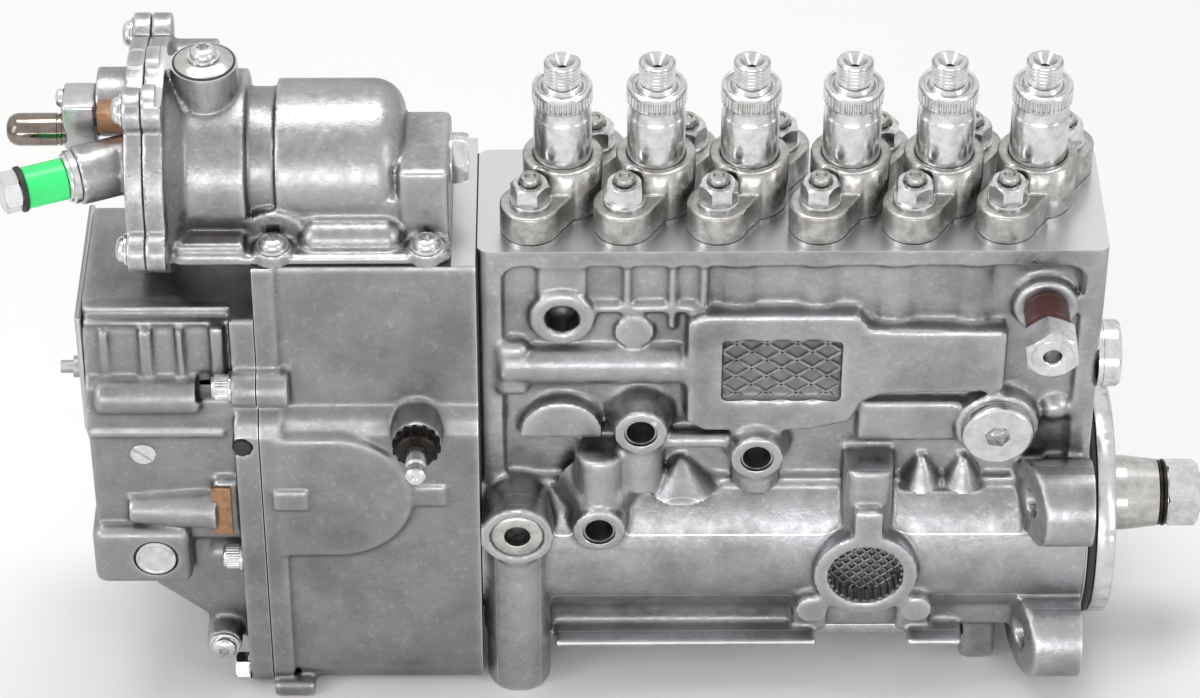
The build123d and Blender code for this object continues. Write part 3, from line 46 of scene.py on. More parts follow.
# %% Load the frame
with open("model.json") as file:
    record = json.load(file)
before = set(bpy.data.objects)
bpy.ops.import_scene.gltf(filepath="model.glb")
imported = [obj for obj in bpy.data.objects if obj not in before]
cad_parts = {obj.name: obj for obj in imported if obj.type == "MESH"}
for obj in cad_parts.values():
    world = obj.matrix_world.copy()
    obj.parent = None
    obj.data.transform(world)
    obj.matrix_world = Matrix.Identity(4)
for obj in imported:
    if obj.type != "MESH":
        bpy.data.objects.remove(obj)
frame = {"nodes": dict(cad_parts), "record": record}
cad_low, cad_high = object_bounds()
MM = 0.001
print("cad box", [round(v, 4) for v in (*cad_low, *cad_high)])

# %% [markdown]
# The camera stands where the photographer's did: 40 degrees above the bench, nearly square to the
# long side. A long lens keeps the six outlets parallel. Its place was worked out by matching known
# points of the pump with the picture, and it needs no shift.

# %% Camera
ELEVATION = math.radians(40.0)
YAW = math.radians(0.576)
ROLL = math.radians(0.16)
camera_data = bpy.data.cameras.new("camera")
camera = bpy.data.objects.new("camera", camera_data)
bpy.context.scene.collection.objects.link(camera)
camera_data.lens = 127.2
camera_data.sensor_width = 36.0
turn = Euler((math.pi / 2 - ELEVATION, 0, -YAW), "XYZ").to_matrix() @ Matrix.Rotation(ROLL, 3, "Z")
camera.matrix_world = Matrix.Translation(Vector((-202.5, -1263.5, 1136.2)) * MM) @ turn.to_4x4()
camera_data.clip_start = 0.05
camera_data.clip_end = 20.0
bpy.context.scene.camera = camera
print("camera lens", camera_data.lens)

# %% [markdown]
# The studio is plain: a pale floor that keeps the pump's soft shadow, one large lamp above the pump,
# two weaker ones at its sides and a low wide one in front for the upright walls. The world is white
# where the camera, a mirror or a glass sees it, and dimmer as a light, so that metal shows a bright
# room and the colours stay as they are written.

# %% Small helpers for colour and nodes


def hex_colour(code, alpha=1.0):
    """Linear colour of an sRGB hex value."""
    channels = [int(code[i:i + 2], 16) / 255 for i in (1, 3, 5)]
    linear = [c / 12.92 if c <= 0.04045 else ((c + 0.055) / 1.055) ** 2.4 for c in channels]
    return (*linear, alpha)


def add_node(tree, kind, settings=None, **links):
    """Adds a node, sets its settings and values, and links its inputs."""
    node = tree.nodes.new(kind)
    for key, value in (settings or {}).items():
        if isinstance(key, str) and hasattr(node, key):
            setattr(node, key, value)
        else:
            node.inputs[key].default_value = value
    for key, socket in links.items():
        name = key.replace("_", " ")
        target = node.inputs[int(key[1:])] if key[0] == "i" and key[1:].isdigit() else node.inputs[name]
        tree.links.new(socket, target)
    return node


# %% World
world = bpy.data.worlds.new("studio")
bpy.context.scene.world = world
world.use_nodes = True
tree = world.node_tree
tree.nodes.clear()
path = add_node(tree, "ShaderNodeLightPath")
seen = add_node(tree, "ShaderNodeMath", {"operation": "MAXIMUM"}, i0=path.outputs["Is Camera Ray"],
                i1=path.outputs["Is Glossy Ray"])
seen = add_node(tree, "ShaderNodeMath", {"operation": "MAXIMUM"}, i0=seen.outputs[0],
                i1=path.outputs["Is Transmission Ray"])
room = add_node(tree, "ShaderNodeBackground", {"Color": (1, 1, 1, 1), "Strength": 0.42})
white = add_node(tree, "ShaderNodeBackground", {"Color": (1, 1, 1, 1), "Strength": 1.0})
mixed = add_node(tree, "ShaderNodeMixShader", None, i0=seen.outputs[0], i1=room.outputs[0],
                 i2=white.outputs[0])
add_node(tree, "ShaderNodeOutputWorld", None, Surface=mixed.outputs[0])
bpy.context.scene.view_settings.view_transform = "Standard"
print("world ready")

# %% Lamps


def soft_lamp(name, place, aim, width, height, watts):
    """A rectangular studio lamp that points at a place."""
    data = bpy.data.lights.new(name, "AREA")
    data.shape = "RECTANGLE"
    data.size = width
    data.size_y = height
    data.energy = watts
    lamp = bpy.data.objects.new(name, data)
    bpy.context.scene.collection.objects.link(lamp)
    lamp.location = place
    lamp.rotation_euler = (Vector(aim) - Vector(place)).to_track_quat("-Z", "Y").to_euler()


soft_lamp("lamp_above", (-0.25, 0.25, 1.35), (-0.18, 0, 0.05), 1.3, 0.5, 11.0)
soft_lamp("lamp_left", (-1.35, -0.75, 0.75), (-0.18, 0, 0.05), 0.5, 1.0, 5.0)
soft_lamp("lamp_right", (1.1, -0.9, 0.6), (-0.18, 0, 0.05), 0.4, 1.0, 4.0)
soft_lamp("lamp_front", (-0.30, -1.5, 0.25), (-0.18, 0, 0.05), 1.4, 0.35, 7.0)
print("four lamps")

# %% [markdown]
# Operators act on everything that is selected, and the frame leaves its nodes selected. These helpers
# start each piece from a clean selection, put a primitive at its size and place, and then move that
# place into the mesh, as the frame's own nodes have it.

# %% Modelling helpers


def deselect():
    """Leaves edit mode and selects nothing."""
    if bpy.context.mode != "OBJECT":
        bpy.ops.object.mode_set(mode="OBJECT")
    bpy.ops.object.select_all(action="DESELECT")


def pick(*pieces):
    """Selects these objects and makes the first one active."""
    deselect()
    for piece in pieces:
        piece.select_set(True)
    bpy.context.view_layer.objects.active = pieces[0]
    return pieces[0]


def settle(piece):
    """Moves the object's place and turn into its mesh."""
    pick(piece)
    bpy.ops.object.transform_apply(location=True, rotation=True, scale=True)
    return piece


def join(*pieces):
    """Joins pieces into the first one."""
    pick(*pieces)
    if len(pieces) > 1:
        bpy.ops.object.join()
    return pieces[0]


def block(x0, x1, y0, y1, z0, z1, round_by=0.0):
    """A block between two corners in millimetres, with its edges bevelled."""
    deselect()
    middle = Vector((x0 + x1, y0 + y1, z0 + z1)) * MM / 2
    bpy.ops.mesh.primitive_cube_add(size=1, location=middle,
                                    scale=((x1 - x0) * MM, (y1 - y0) * MM, (z1 - z0) * MM))
    piece = settle(bpy.context.object)
    if round_by:
        bpy.ops.object.mode_set(mode="EDIT")
        bpy.ops.mesh.select_all(action="SELECT")
        bpy.ops.mesh.bevel(offset=round_by * MM, segments=3, affect="EDGES")
        bpy.ops.object.mode_set(mode="OBJECT")
    return piece


def drum(axis, start, end, a, b, r, r_end=None, sides=48):
    """A cylinder or cone along X, Y or Z between two places, in millimetres."""
    deselect()
    middle = (start + end) / 2
    place = {"X": (middle, a, b), "Y": (a, middle, b), "Z": (a, b, middle)}[axis]
    turned = {"X": (0, math.pi / 2, 0), "Y": (-math.pi / 2, 0, 0), "Z": (0, 0, 0)}[axis]
    bpy.ops.mesh.primitive_cone_add(vertices=sides, radius1=r * MM,
                                    radius2=(r if r_end is None else r_end) * MM,
                                    depth=(end - start) * MM, location=Vector(place) * MM, rotation=turned)
    return settle(bpy.context.object)


def lathe(name, rings, sides=48, closed=False):
    """Turns a profile about Z: a circle is extruded and scaled from ring to ring, in millimetres."""
    deselect()
    z, r = rings[0]
    bpy.ops.mesh.primitive_circle_add(vertices=sides, radius=r * MM, location=(0, 0, z * MM))
    piece = settle(bpy.context.object)
    piece.name = name
    bpy.ops.object.mode_set(mode="EDIT")
    bpy.ops.mesh.select_all(action="SELECT")
    if not closed:
        bpy.ops.mesh.edge_face_add()
    for z_next, r_next in rings[1:]:
        bpy.ops.mesh.extrude_region_move(TRANSFORM_OT_translate={"value": (0, 0, (z_next - z) * MM)})
        bpy.ops.transform.resize(value=(r_next / r, r_next / r, 1), center_override=(0, 0, z_next * MM))
        z, r = z_next, r_next
    bpy.ops.mesh.select_all(action="SELECT")
    if closed:
        bpy.ops.mesh.remove_doubles(threshold=1e-6)
    bpy.ops.mesh.normals_make_consistent(inside=False)
    bpy.ops.object.mode_set(mode="OBJECT")
    return piece


def move_copy(piece, place, along=(0, 0, 1), spin=0.0):
    """A copy with its own mesh, turned so that its Z lies along a direction, at a place in millimetres."""
    copy = piece.copy()
    copy.data = piece.data.copy()
    bpy.context.scene.collection.objects.link(copy)
    lay = Vector(along).to_track_quat("Z", "Y").to_matrix() @ Matrix.Rotation(spin, 3, "Z")
    copy.matrix_world = Matrix.Translation(Vector(place) * MM) @ lay.to_4x4()
    return settle(copy)


def lay_out(piece, *places):
    """Moves a finished form to one or more places (point, direction, turn) and joins the copies."""
    copies = [move_copy(piece, *place) for place in places]
    discard(piece)
    return join(*copies)


def discard(*pieces):
    """Removes helper objects."""
    for piece in pieces:
        bpy.data.objects.remove(piece)


def modify(piece, kind, **settings):
    """Adds a modifier and applies it."""
    pick(piece)
    modifier = piece.modifiers.new(kind.lower(), kind)
    for key, value in settings.items():
        setattr(modifier, key, value)
    bpy.ops.object.modifier_apply(modifier=modifier.name)
    return piece


def carve(piece, *cutters, operation="DIFFERENCE", solver="MANIFOLD"):
    """Cuts closed cutters out of a closed piece, and removes them."""
    for cutter in cutters:
        modify(piece, "BOOLEAN", operation=operation, solver=solver, object=cutter)
        discard(cutter)
    return piece


def smooth(piece, angle=35.0):
    """Smooth shading, with edges sharper than an angle kept."""
    pick(piece)
    bpy.ops.object.shade_smooth_by_angle(angle=math.radians(angle))
    return piece


def place_piece(piece, name, body, slot, material, *nodes):
    """Names a finished piece, gives it its material and fixes it to its body."""
    piece.name = name
    piece.data.name = name
    if material is not None:
        piece.data.materials.clear()
        piece.data.materials.append(material)
    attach(piece, body)
    if nodes:
        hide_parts(*nodes)
    print(name, len(piece.data.polygons), "faces")
    return piece


LEFT, RIGHT, FRONT, UP, DOWN = (-1, 0, 0), (1, 0, 0), (0, -1, 0), (0, 0, 1), (0, 0, -1)


def node_copy(node):
    """A merged copy of a CAD node, free of its body."""
    source = frame["nodes"][node]
    copy = source.copy()
    copy.data = source.data.copy()
    for key in list(copy.keys()):
        if key.startswith("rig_"):
            del copy[key]
    copy.parent = None
    bpy.context.scene.collection.objects.link(copy)
    pick(copy)
    bpy.ops.object.mode_set(mode="EDIT")
    bpy.ops.mesh.select_all(action="SELECT")
    bpy.ops.mesh.remove_doubles(threshold=2e-6)
    bpy.ops.object.mode_set(mode="OBJECT")
    return copy

# %% [markdown]
# Most of the pump is cast aluminium. The pump body is cast in a sand-like mould and has a coarse skin;
# the governor and the boost compensator are die cast and finer. A bare casting is a dull metal: bright
# where it is rubbed, with grain that breaks up every highlight. The recipe is one function, because the
# castings differ only in grain, wave and tone. Pointiness finds the rubbed edges of a dense mesh and the
# corners, which get painted shade in a dark brownish colour; ambient occlusion finds the deep recesses
# and paints shade into them too. Milled faces are found by their place: they are smooth and bright.

# %% Cast aluminium


def per(size_mm):
    """Texture scale that gives a pattern of this size in millimetres."""
    return 1.0 / (size_mm * MM)


# The machined planes, in millimetres: heights on Z, ends on X.
DECK = 149.5
FLANGE_FACE = 0.0
BODY_END = -236.0
GOVERNOR_RIGHT = -236.6
GOVERNOR_LEFT = -319.6
COVER_JOINT = -320.2
TURRET_TOP = 216.0


def cast_metal(name, tone, corner, rubbed, grain_mm, wave_mm, roughness, depth_mm, milled=()):
    """Bare cast aluminium with grain, low waves, random stains, painted shade in its corners and recesses,
    rubbed edges and milled planes.
    """
    material = bpy.data.materials.new(name)
    material.use_nodes = True
    tree = material.node_tree
    tree.nodes.clear()
    here = add_node(tree, "ShaderNodeTexCoord").outputs["Object"]
    grain = add_node(tree, "ShaderNodeTexNoise", {"Scale": per(grain_mm), "Detail": 3.0, "Roughness": 0.6},
                     Vector=here)
    wave = add_node(tree, "ShaderNodeTexNoise", {"Scale": per(wave_mm), "Detail": 2.0}, Vector=here)
    stain = add_node(tree, "ShaderNodeTexNoise", {"Scale": per(34.0), "Detail": 6.0, "Roughness": 0.65},
                     Vector=here)
    speck = add_node(tree, "ShaderNodeTexNoise", {"Scale": per(2.2), "Detail": 4.0, "Roughness": 0.7},
                     Vector=here)
    shape = add_node(tree, "ShaderNodeNewGeometry").outputs["Pointiness"]
    # Painted shade: low pointiness, the inner corners, is darkened towards the corner colour.
    corner_shade = add_node(tree, "ShaderNodeMapRange", {"From Min": 0.40, "From Max": 0.50, "To Min": 1.0,
                                                 "To Max": 0.0},
                    Value=shape)
    edge = add_node(tree, "ShaderNodeMapRange", {"From Min": 0.50, "From Max": 0.60, "To Min": 0.0,
                                                 "To Max": 1.0},
                    Value=shape)
    patch = add_node(tree, "ShaderNodeMapRange", {"From Min": 0.42, "From Max": 0.72, "To Min": 0.0,
                                                  "To Max": 0.55},
                     Value=stain.outputs["Fac"])
    fleck = add_node(tree, "ShaderNodeMapRange", {"From Min": 0.55, "From Max": 0.78, "To Min": 0.0,
                                                  "To Max": 0.5},
                     Value=speck.outputs["Fac"])
    base = add_node(tree, "ShaderNodeMix", {"data_type": "RGBA", 6: hex_colour(tone),
                                            7: hex_colour(rubbed)},
                    i0=fleck.outputs[0])
    toned = add_node(tree, "ShaderNodeMix", {"data_type": "RGBA", 7: hex_colour(corner)},
                     i0=patch.outputs[0],
                     i6=base.outputs[2])
    worn = add_node(tree, "ShaderNodeMix", {"data_type": "RGBA", 7: hex_colour(rubbed)}, i0=edge.outputs[0],
                    i6=toned.outputs[2])
    # Painted shade: ambient occlusion darkens the deep recesses and bores towards the corner colour.
    open_air = add_node(tree, "ShaderNodeAmbientOcclusion",
                        {"samples": 6, "only_local": True, "Distance": 16 * MM})
    deep = add_node(tree, "ShaderNodeMapRange", {"From Min": 0.25, "From Max": 0.75, "To Min": 0.60,
                                                 "To Max": 0.0},
                    Value=open_air.outputs["AO"])
    # The painted shade of corners and recesses together, mixed in below with the corner colour.
    dark = add_node(tree, "ShaderNodeMath", {"operation": "MAXIMUM"}, i0=corner_shade.outputs[0],
                    i1=deep.outputs[0])
    skin = add_node(tree, "ShaderNodeMix", {"data_type": "RGBA", 7: hex_colour(corner)}, i0=dark.outputs[0],
                    i6=worn.outputs[2])
    place = add_node(tree, "ShaderNodeSeparateXYZ", None, Vector=here)
    plane = add_node(tree, "ShaderNodeValue")
    plane.outputs[0].default_value = 0.0
    for axis, where in milled:
        near = add_node(tree, "ShaderNodeMath", {"operation": "COMPARE", 1: where * MM, 2: 0.12 * MM},
                        i0=place.outputs[axis])
        plane = add_node(tree, "ShaderNodeMath", {"operation": "MAXIMUM"}, i0=plane.outputs[0],
                         i1=near.outputs[0])
    final = add_node(tree, "ShaderNodeMix", {"data_type": "RGBA", 7: hex_colour("#CFCFD1")},
                     i0=plane.outputs[0],
                     i6=skin.outputs[2])
    gloss = add_node(tree, "ShaderNodeMapRange", {"From Min": 0.3, "From Max": 0.7,
                                                  "To Min": roughness - 0.07,
                                                  "To Max": roughness + 0.12}, Value=wave.outputs["Fac"])
    gloss = add_node(tree, "ShaderNodeMix", {"data_type": "FLOAT", 3: 0.30}, i0=plane.outputs[0],
                     i2=gloss.outputs[0])
    low = add_node(tree, "ShaderNodeBump", {"Strength": 0.55, "Distance": depth_mm * 3.0 * MM},
                   Height=wave.outputs["Fac"])
    fine = add_node(tree, "ShaderNodeBump", {"Strength": 0.7, "Distance": depth_mm * MM},
                    Height=grain.outputs["Fac"], Normal=low.outputs[0])
    cut = add_node(tree, "ShaderNodeNewGeometry")
    facing = add_node(tree, "ShaderNodeMix", {"data_type": "VECTOR"}, i0=plane.outputs[0],
                      i4=fine.outputs[0],
                      i5=cut.outputs["Normal"])
    shader = add_node(tree, "ShaderNodeBsdfPrincipled", {"Metallic": 1.0}, Base_Color=final.outputs[2],
                      Roughness=gloss.outputs[0], Normal=facing.outputs[1])
    add_node(tree, "ShaderNodeOutputMaterial", None, Surface=shader.outputs[0])
    return material


# The body's skin has grains of about 0.8 mm, the die castings' 0.5 mm, drawn a little coarser than real
# so that they show at this distance.
# The second colour of each casting serves both its random stains and its painted shade in corners and
# recesses.
body_cast = cast_metal("gravity_cast_aluminium", "#A4A4A7", "#464340", "#DADADC", 0.8, 5.0, 0.34, 0.14,
                       (("Z", DECK), ("X", FLANGE_FACE), ("X", BODY_END), ("Y", -42.0), ("Y", -48.0)))
governor_cast = cast_metal("die_cast_aluminium", "#8F8F91", "#514E4B", "#C4C4C6", 0.5, 8.0, 0.38, 0.08,
                           (("Z", DECK), ("X", GOVERNOR_RIGHT), ("X", GOVERNOR_LEFT), ("X", COVER_JOINT)))
boost_cast = cast_metal("die_cast_aluminium_bright", "#9E9C9D", "#524E4B", "#D6D5D6", 0.6, 4.0, 0.32, 0.10,
                        (("Z", TURRET_TOP), ("X", -357.0)))
print("cast metals ready")

# %% [markdown]
# The steel parts are turned and plated. Zinc plating is bright and nearly neutral, and shows the turning
# marks under it as a very fine grain. Plain steel is greyer. Black oxide is almost matt. They share one
# recipe: a metal with faint cloudy plating and fine scratches.

# %% Plated and turned metals


def plated_metal(name, tone, cloud, roughness, mark_mm=0.25, depth_mm=0.01, stretch=(1.0, 1.0, 1.0),
                 metallic=1.0):
    """A turned or plated metal with a cloudy film and fine marks."""
    material = bpy.data.materials.new(name)
    material.use_nodes = True
    tree = material.node_tree
    tree.nodes.clear()
    here = add_node(tree, "ShaderNodeTexCoord").outputs["Object"]
    laid = add_node(tree, "ShaderNodeMapping", {"Scale": stretch}, Vector=here)
    film = add_node(tree, "ShaderNodeTexNoise", {"Scale": per(5.0), "Detail": 5.0, "Roughness": 0.65},
                    Vector=here)
    marks = add_node(tree, "ShaderNodeTexNoise", {"Scale": per(mark_mm), "Detail": 2.0},
                     Vector=laid.outputs[0])
    blend = add_node(tree, "ShaderNodeMapRange", {"From Min": 0.4, "From Max": 0.65},
                     Value=film.outputs["Fac"])
    colour = add_node(tree, "ShaderNodeMix", {"data_type": "RGBA", 6: hex_colour(tone),
                                              7: hex_colour(cloud)},
                      i0=blend.outputs[0])
    gloss = add_node(tree, "ShaderNodeMapRange", {"From Min": 0.35, "From Max": 0.65,
                                                  "To Min": roughness - 0.05,
                                                  "To Max": roughness + 0.08}, Value=film.outputs["Fac"])
    rough = add_node(tree, "ShaderNodeBump", {"Strength": 0.5, "Distance": depth_mm * MM},
                     Height=marks.outputs["Fac"])
    shader = add_node(tree, "ShaderNodeBsdfPrincipled", {"Metallic": metallic},
                      Base_Color=colour.outputs[2],
                      Roughness=gloss.outputs[0], Normal=rough.outputs[0])
    add_node(tree, "ShaderNodeOutputMaterial", None, Surface=shader.outputs[0])
    return material


zinc = plated_metal("zinc_plated_steel", "#D9DADC", "#BEBDBA", 0.20)
zinc_dull = plated_metal("zinc_plated_forging", "#B9B8B6", "#94918C", 0.30, 0.5, 0.03)
turned_steel = plated_metal("turned_steel", "#C4C3C1", "#A6A4A0", 0.24, 0.2, 0.006)
turned_aluminium = plated_metal("turned_aluminium", "#D2D2D4", "#BEBDBD", 0.26, 0.25, 0.01)
milled_aluminium = plated_metal("milled_aluminium", "#C6C6C8", "#B1B0B0", 0.30, 0.3, 0.02, (1.0, 12.0, 1.0))
black_steel = plated_metal("black_oxide_steel", "#262321", "#363230", 0.38)
polished_steel = plated_metal("polished_steel", "#8A8078", "#6E655E", 0.12, 0.3, 0.004)
cast_ribs = plated_metal("cast_aluminium_ribs", "#949496", "#6F6D6B", 0.36, 0.6, 0.05)
spring_steel = plated_metal("spring_steel", "#8C8C8E", "#6C6C6E", 0.30)
copper_clip = plated_metal("copper_plated_clip", "#A98467", "#8A6A52", 0.42)
print("plated metals ready")

# %% [markdown]
# Plastics and rubber are not metals: their colour comes from inside and the gloss is white. The
# transport sleeve is a bright green plastic, the sleeve of the overflow valve a dark red-brown one.

# %% Plastic and rubber


def moulded(name, tone, shade, roughness, grain_mm, depth_mm):
    """A moulded plastic or rubber with a fine skin and slight unevenness of colour."""
    material = bpy.data.materials.new(name)
    material.use_nodes = True
    tree = material.node_tree
    tree.nodes.clear()
    here = add_node(tree, "ShaderNodeTexCoord").outputs["Object"]
    skin = add_node(tree, "ShaderNodeTexNoise", {"Scale": per(grain_mm), "Detail": 3.0}, Vector=here)
    cloud = add_node(tree, "ShaderNodeTexNoise", {"Scale": per(7.0), "Detail": 3.0}, Vector=here)
    colour = add_node(tree, "ShaderNodeMix", {"data_type": "RGBA", 6: hex_colour(tone),
                                              7: hex_colour(shade)},
                      i0=cloud.outputs["Fac"])
    rough = add_node(tree, "ShaderNodeBump", {"Strength": 0.5, "Distance": depth_mm * MM},
                     Height=skin.outputs["Fac"])
    shader = add_node(tree, "ShaderNodeBsdfPrincipled", {"Roughness": roughness, "IOR": 1.5},
                      Base_Color=colour.outputs[2],
                      Normal=rough.outputs[0])
    add_node(tree, "ShaderNodeOutputMaterial", None, Surface=shader.outputs[0])
    return material


green_plastic = moulded("green_polyethylene", "#45EE86", "#36DF77", 0.26, 0.8, 0.01)
brown_plastic = moulded("red_brown_phenolic", "#4E2622", "#3A1B19", 0.33, 0.6, 0.02)
rubber = moulded("black_rubber", "#1A1A1B", "#242425", 0.55, 0.4, 0.02)
gasket_paper = moulded("gasket_paper", "#3A3836", "#2A2928", 0.8, 0.4, 0.03)
print("plastics ready")

# %% [markdown]
# The pump body. Castings have no sharp inner corners: the mould rounds every edge, and the metal flows
# from one boss into the next. Rounding each edge by hand would take hundreds of steps and still miss
# the way they blend. So the body is built as the foundry does it: a rough form is melted into one
# skin by a voxel remesh and smoothed, and the machined faces and bores are then cut into it with
# crisp edges.

# %% Casting helpers


def grow_past(piece, axis, limit, step):
    """Moves the vertices beyond a plane outwards, so that the later cut leaves a crisp machined face."""
    index = "XYZ".index(axis)
    pick(piece)
    bpy.ops.object.mode_set(mode="EDIT")
    bpy.ops.mesh.select_mode(type="VERT")
    bpy.ops.mesh.select_all(action="DESELECT")
    mesh = bmesh.from_edit_mesh(piece.data)
    side = 1 if step > 0 else -1
    for vertex in mesh.verts:
        vertex.select = (vertex.co[index] - limit * MM) * side > -1e-5
    mesh.select_flush(True)
    bmesh.update_edit_mesh(piece.data)
    value = [0.0, 0.0, 0.0]
    value[index] = step * MM
    bpy.ops.transform.translate(value=value)
    bpy.ops.object.mode_set(mode="OBJECT")


def melt(piece, voxel_mm, rounds, keep=1.0):
    """Melts overlapping forms into one cast skin with rounded corners."""
    modify(piece, "REMESH", mode="VOXEL", voxel_size=voxel_mm * MM, use_smooth_shade=True)
    modify(piece, "SMOOTH", factor=0.5, iterations=rounds)
    if keep < 1.0:
        modify(piece, "DECIMATE", ratio=keep)
    return piece


ELEMENTS = [-204.0, -169.0, -134.0, -96.0, -61.0, -26.0]
CAST_VOXEL = 1.15
print("voxel", CAST_VOXEL)

# %% The rough form of the body
body = node_copy("pump_housing")
grow_past(body, "Z", DECK, 3.0)
grow_past(body, "X", FLANGE_FACE, 3.0)
grow_past(body, "X", BODY_END, -3.0)
lumps = []
for x, z, face in ((-174.5, 68.2, 40.0), (-190.4, 23.0, 46.0), (-129.7, 55.2, 40.0)):
    lumps.append(drum("Y", -face, -25.0, x, z, 10.0, 14.5, 32))
lumps.append(drum("Y", -43.0, -33.0, -190.4, 34.0, 8.0, 17.0, 32))
for x, r in ((-158.5, 15.0), (-65.0, 8.5), (-49.0, 8.5)):
    lumps.append(drum("Z", 33.0, 47.0, x, -30.0, r, 1.2, 24))
for x in (-180.0, -163.0, -151.0):
    lumps.append(block(x - 1.2, x + 1.2, -31.0, -24.0, 111.0, 143.0, 0.8))
lumps.append(block(-193.0, -150.0, -31.0, -24.0, 119.0, 122.5, 1.2))
for x in (-138.0, -108.0, -79.0, -49.0):
    lumps.append(drum("Z", 104.0, 142.0, x, -17.0, 13.0, sides=32))
lumps.append(drum("X", -228.0, -154.0, -27.0, 93.0, 8.8, sides=32))
for low, high in ((-208, -104), (-68, -46)):
    lumps.append(block(low, high, -48.5, -30, -38.5, -35.5, 0.9))
body = join(body, *lumps)
print("rough form", len(body.data.polygons), "faces")

# %% Melt it and cut the machined faces
melt(body, CAST_VOXEL, 7)
carve(body, block(-260, 30, -80, 80, DECK, DECK + 12))
carve(body, block(FLANGE_FACE, 12, -80, 80, -80, 170), block(-250, BODY_END, -80, 80, -80, 170))
carve(body, block(-213, -44, -40, 40, -47, -38))
PORTS = ((-174.5, 68.2, 42.0), (-190.4, 23.0, 48.0), (-129.7, 55.2, 42.0))
for x, z, face in PORTS:
    carve(body, drum("Y", -face - 8, -face + 0.3, x, z, 9.6),
          drum("Y", -face - 1, -face + 1.4, x, z, 5.6, 7.0),
          drum("Y", -face - 1, -face + 14, x, z, 5.5))
carve(body, drum("Y", -40, -22.5, -204.5, 117.7, 6.3), drum("Y", -36, -31.8, -204.5, 117.7, 9.2, 6.3))
carve(body, block(-144, -98, -45, -32.6, 79, 109, 2.6))
carve(body, drum("Y", -58, -40.5, -86.0, 1.0, 14.4))
for y in (-45.0, 45.0):
    for z in (-35.0, 35.0):
        carve(body, drum("X", -40, 6, y, z, 5.5))
modify(body, "DECIMATE", ratio=0.5)
smooth(body, 32)
place_piece(body, "pump_body_casting", "pump", "cast_body", body_cast, "pump_housing")

# %% [markdown]
# Two patterns are cast into the front: diamonds in the window of the plate, and a waffle grid with
# ribs round it in the opening for the feed pump. Each bar is a block that a cutter trims to its frame.

# %% Diamond hatch and waffle grid


def bars(centre, face, spacing, angle, width, reach, count):
    """Parallel bars on the front, turned by an angle about Y."""
    made = []
    for i in range(-count, count + 1):
        bar = block(i * spacing - width / 2, i * spacing + width / 2, face - 0.7, face + 1.2, -reach, reach,
                    0.25)
        bar.rotation_euler = (0, math.radians(angle), 0)
        bar.location = Vector((centre[0], 0, centre[1])) * MM
        made.append(settle(bar))
    return made


hatch = []
for angle in (-55, 55):
    for bar in bars((-121, 94), -32.8, 6.6, angle, 1.3, 30, 4):
        hatch.append(carve(bar, block(-143.5, -98.5, -40, -25, 79.5, 108.5), operation="INTERSECT"))
filled = [bar for bar in hatch if bar.data.polygons]
discard(*[bar for bar in hatch if bar not in filled])
hatch = join(*filled)
smooth(hatch, 40)
place_piece(hatch, "window_diamond_hatch", "pump", "cast_body", cast_ribs)
grid = []
for angle in (-40, 50):
    for bar in bars((-86, 1), -40.8, 3.4, angle, 1.1, 16, 4):
        grid.append(carve(bar, drum("Y", -45, -35, -86, 1, 14.3), operation="INTERSECT"))
for i in range(28):
    turned = 2 * math.pi * i / 28
    grid.append(drum("Y", -48.6, -40.6, -86 + 14.4 * math.cos(turned), 1 + 14.4 * math.sin(turned), 0.75,
                     sides=10))
grid = join(*grid)
smooth(grid, 40)
place_piece(grid, "feed_opening_waffle", "pump", "cast_body", cast_ribs)

# %% [markdown]
# The governor and the boost compensator are die cast, with finer edges. They go through the same steps
# with a smaller voxel and fewer rounds of smoothing. The cover's ribs and steps are added to its rough
# form first.

# %% Governor housing
housing = node_copy("governor_housing")
grow_past(housing, "Z", DECK, 2.0)
grow_past(housing, "X", GOVERNOR_RIGHT, 2.0)
grow_past(housing, "X", GOVERNOR_LEFT, -2.0)
melt(housing, CAST_VOXEL * 0.9, 4)
carve(housing, block(-330, -230, -80, 80, DECK, DECK + 12), block(GOVERNOR_RIGHT, -225, -80, 80, -80, 170),
      block(-335, GOVERNOR_LEFT, -80, 80, -80, 170))
carve(housing, drum("Y", -60, -55.4, -259.7, 77, 7.4), drum("Y", -58, -53.5, -259.7, 77, 4.6))
modify(housing, "DECIMATE", ratio=0.5)
smooth(housing, 32)
place_piece(housing, "governor_housing_casting", "pump", "cast_cover", governor_cast, "governor_housing")

# %% Governor cover
cover = node_copy("governor_cover")
ribs = [block(x, x + wide, -out, -30, low, high, 1.0) for x, wide, out, low, high in (
    (-379, 3.5, 38.6, 95, 117), (-364, 5.0, 39.4, 94, 118), (-350, 3.0, 39.4, 94, 118),
    (-337, 5.0, 40.2, 94, 120))]
ribs += [block(-385, -322, -36.5, -25, 118.5, 120.5, 0.8), block(-385, -322, -33.0, -25, 122.2, 124.4, 0.8)]
ribs.append(block(-386, -333, -45.4, -36, 70.2, 73.4, 1.2))
ribs.append(drum("X", -372, -338, -44.0, 34.0, 6.0, 9.0, 32))
cover = join(cover, *ribs)
grow_past(cover, "X", COVER_JOINT, 2.0)
melt(cover, CAST_VOXEL * 0.9, 4)
carve(cover, block(COVER_JOINT, -310, -80, 80, -80, 170))
carve(cover, drum("Y", -60, -44.2, -365, 61.5, 5.4), drum("Y", -60, -47.0, -363, 12, 8.8))
modify(cover, "DECIMATE", ratio=0.5)
smooth(cover, 32)
place_piece(cover, "governor_cover_casting", "pump", "cast_cover", governor_cast, "governor_cover")

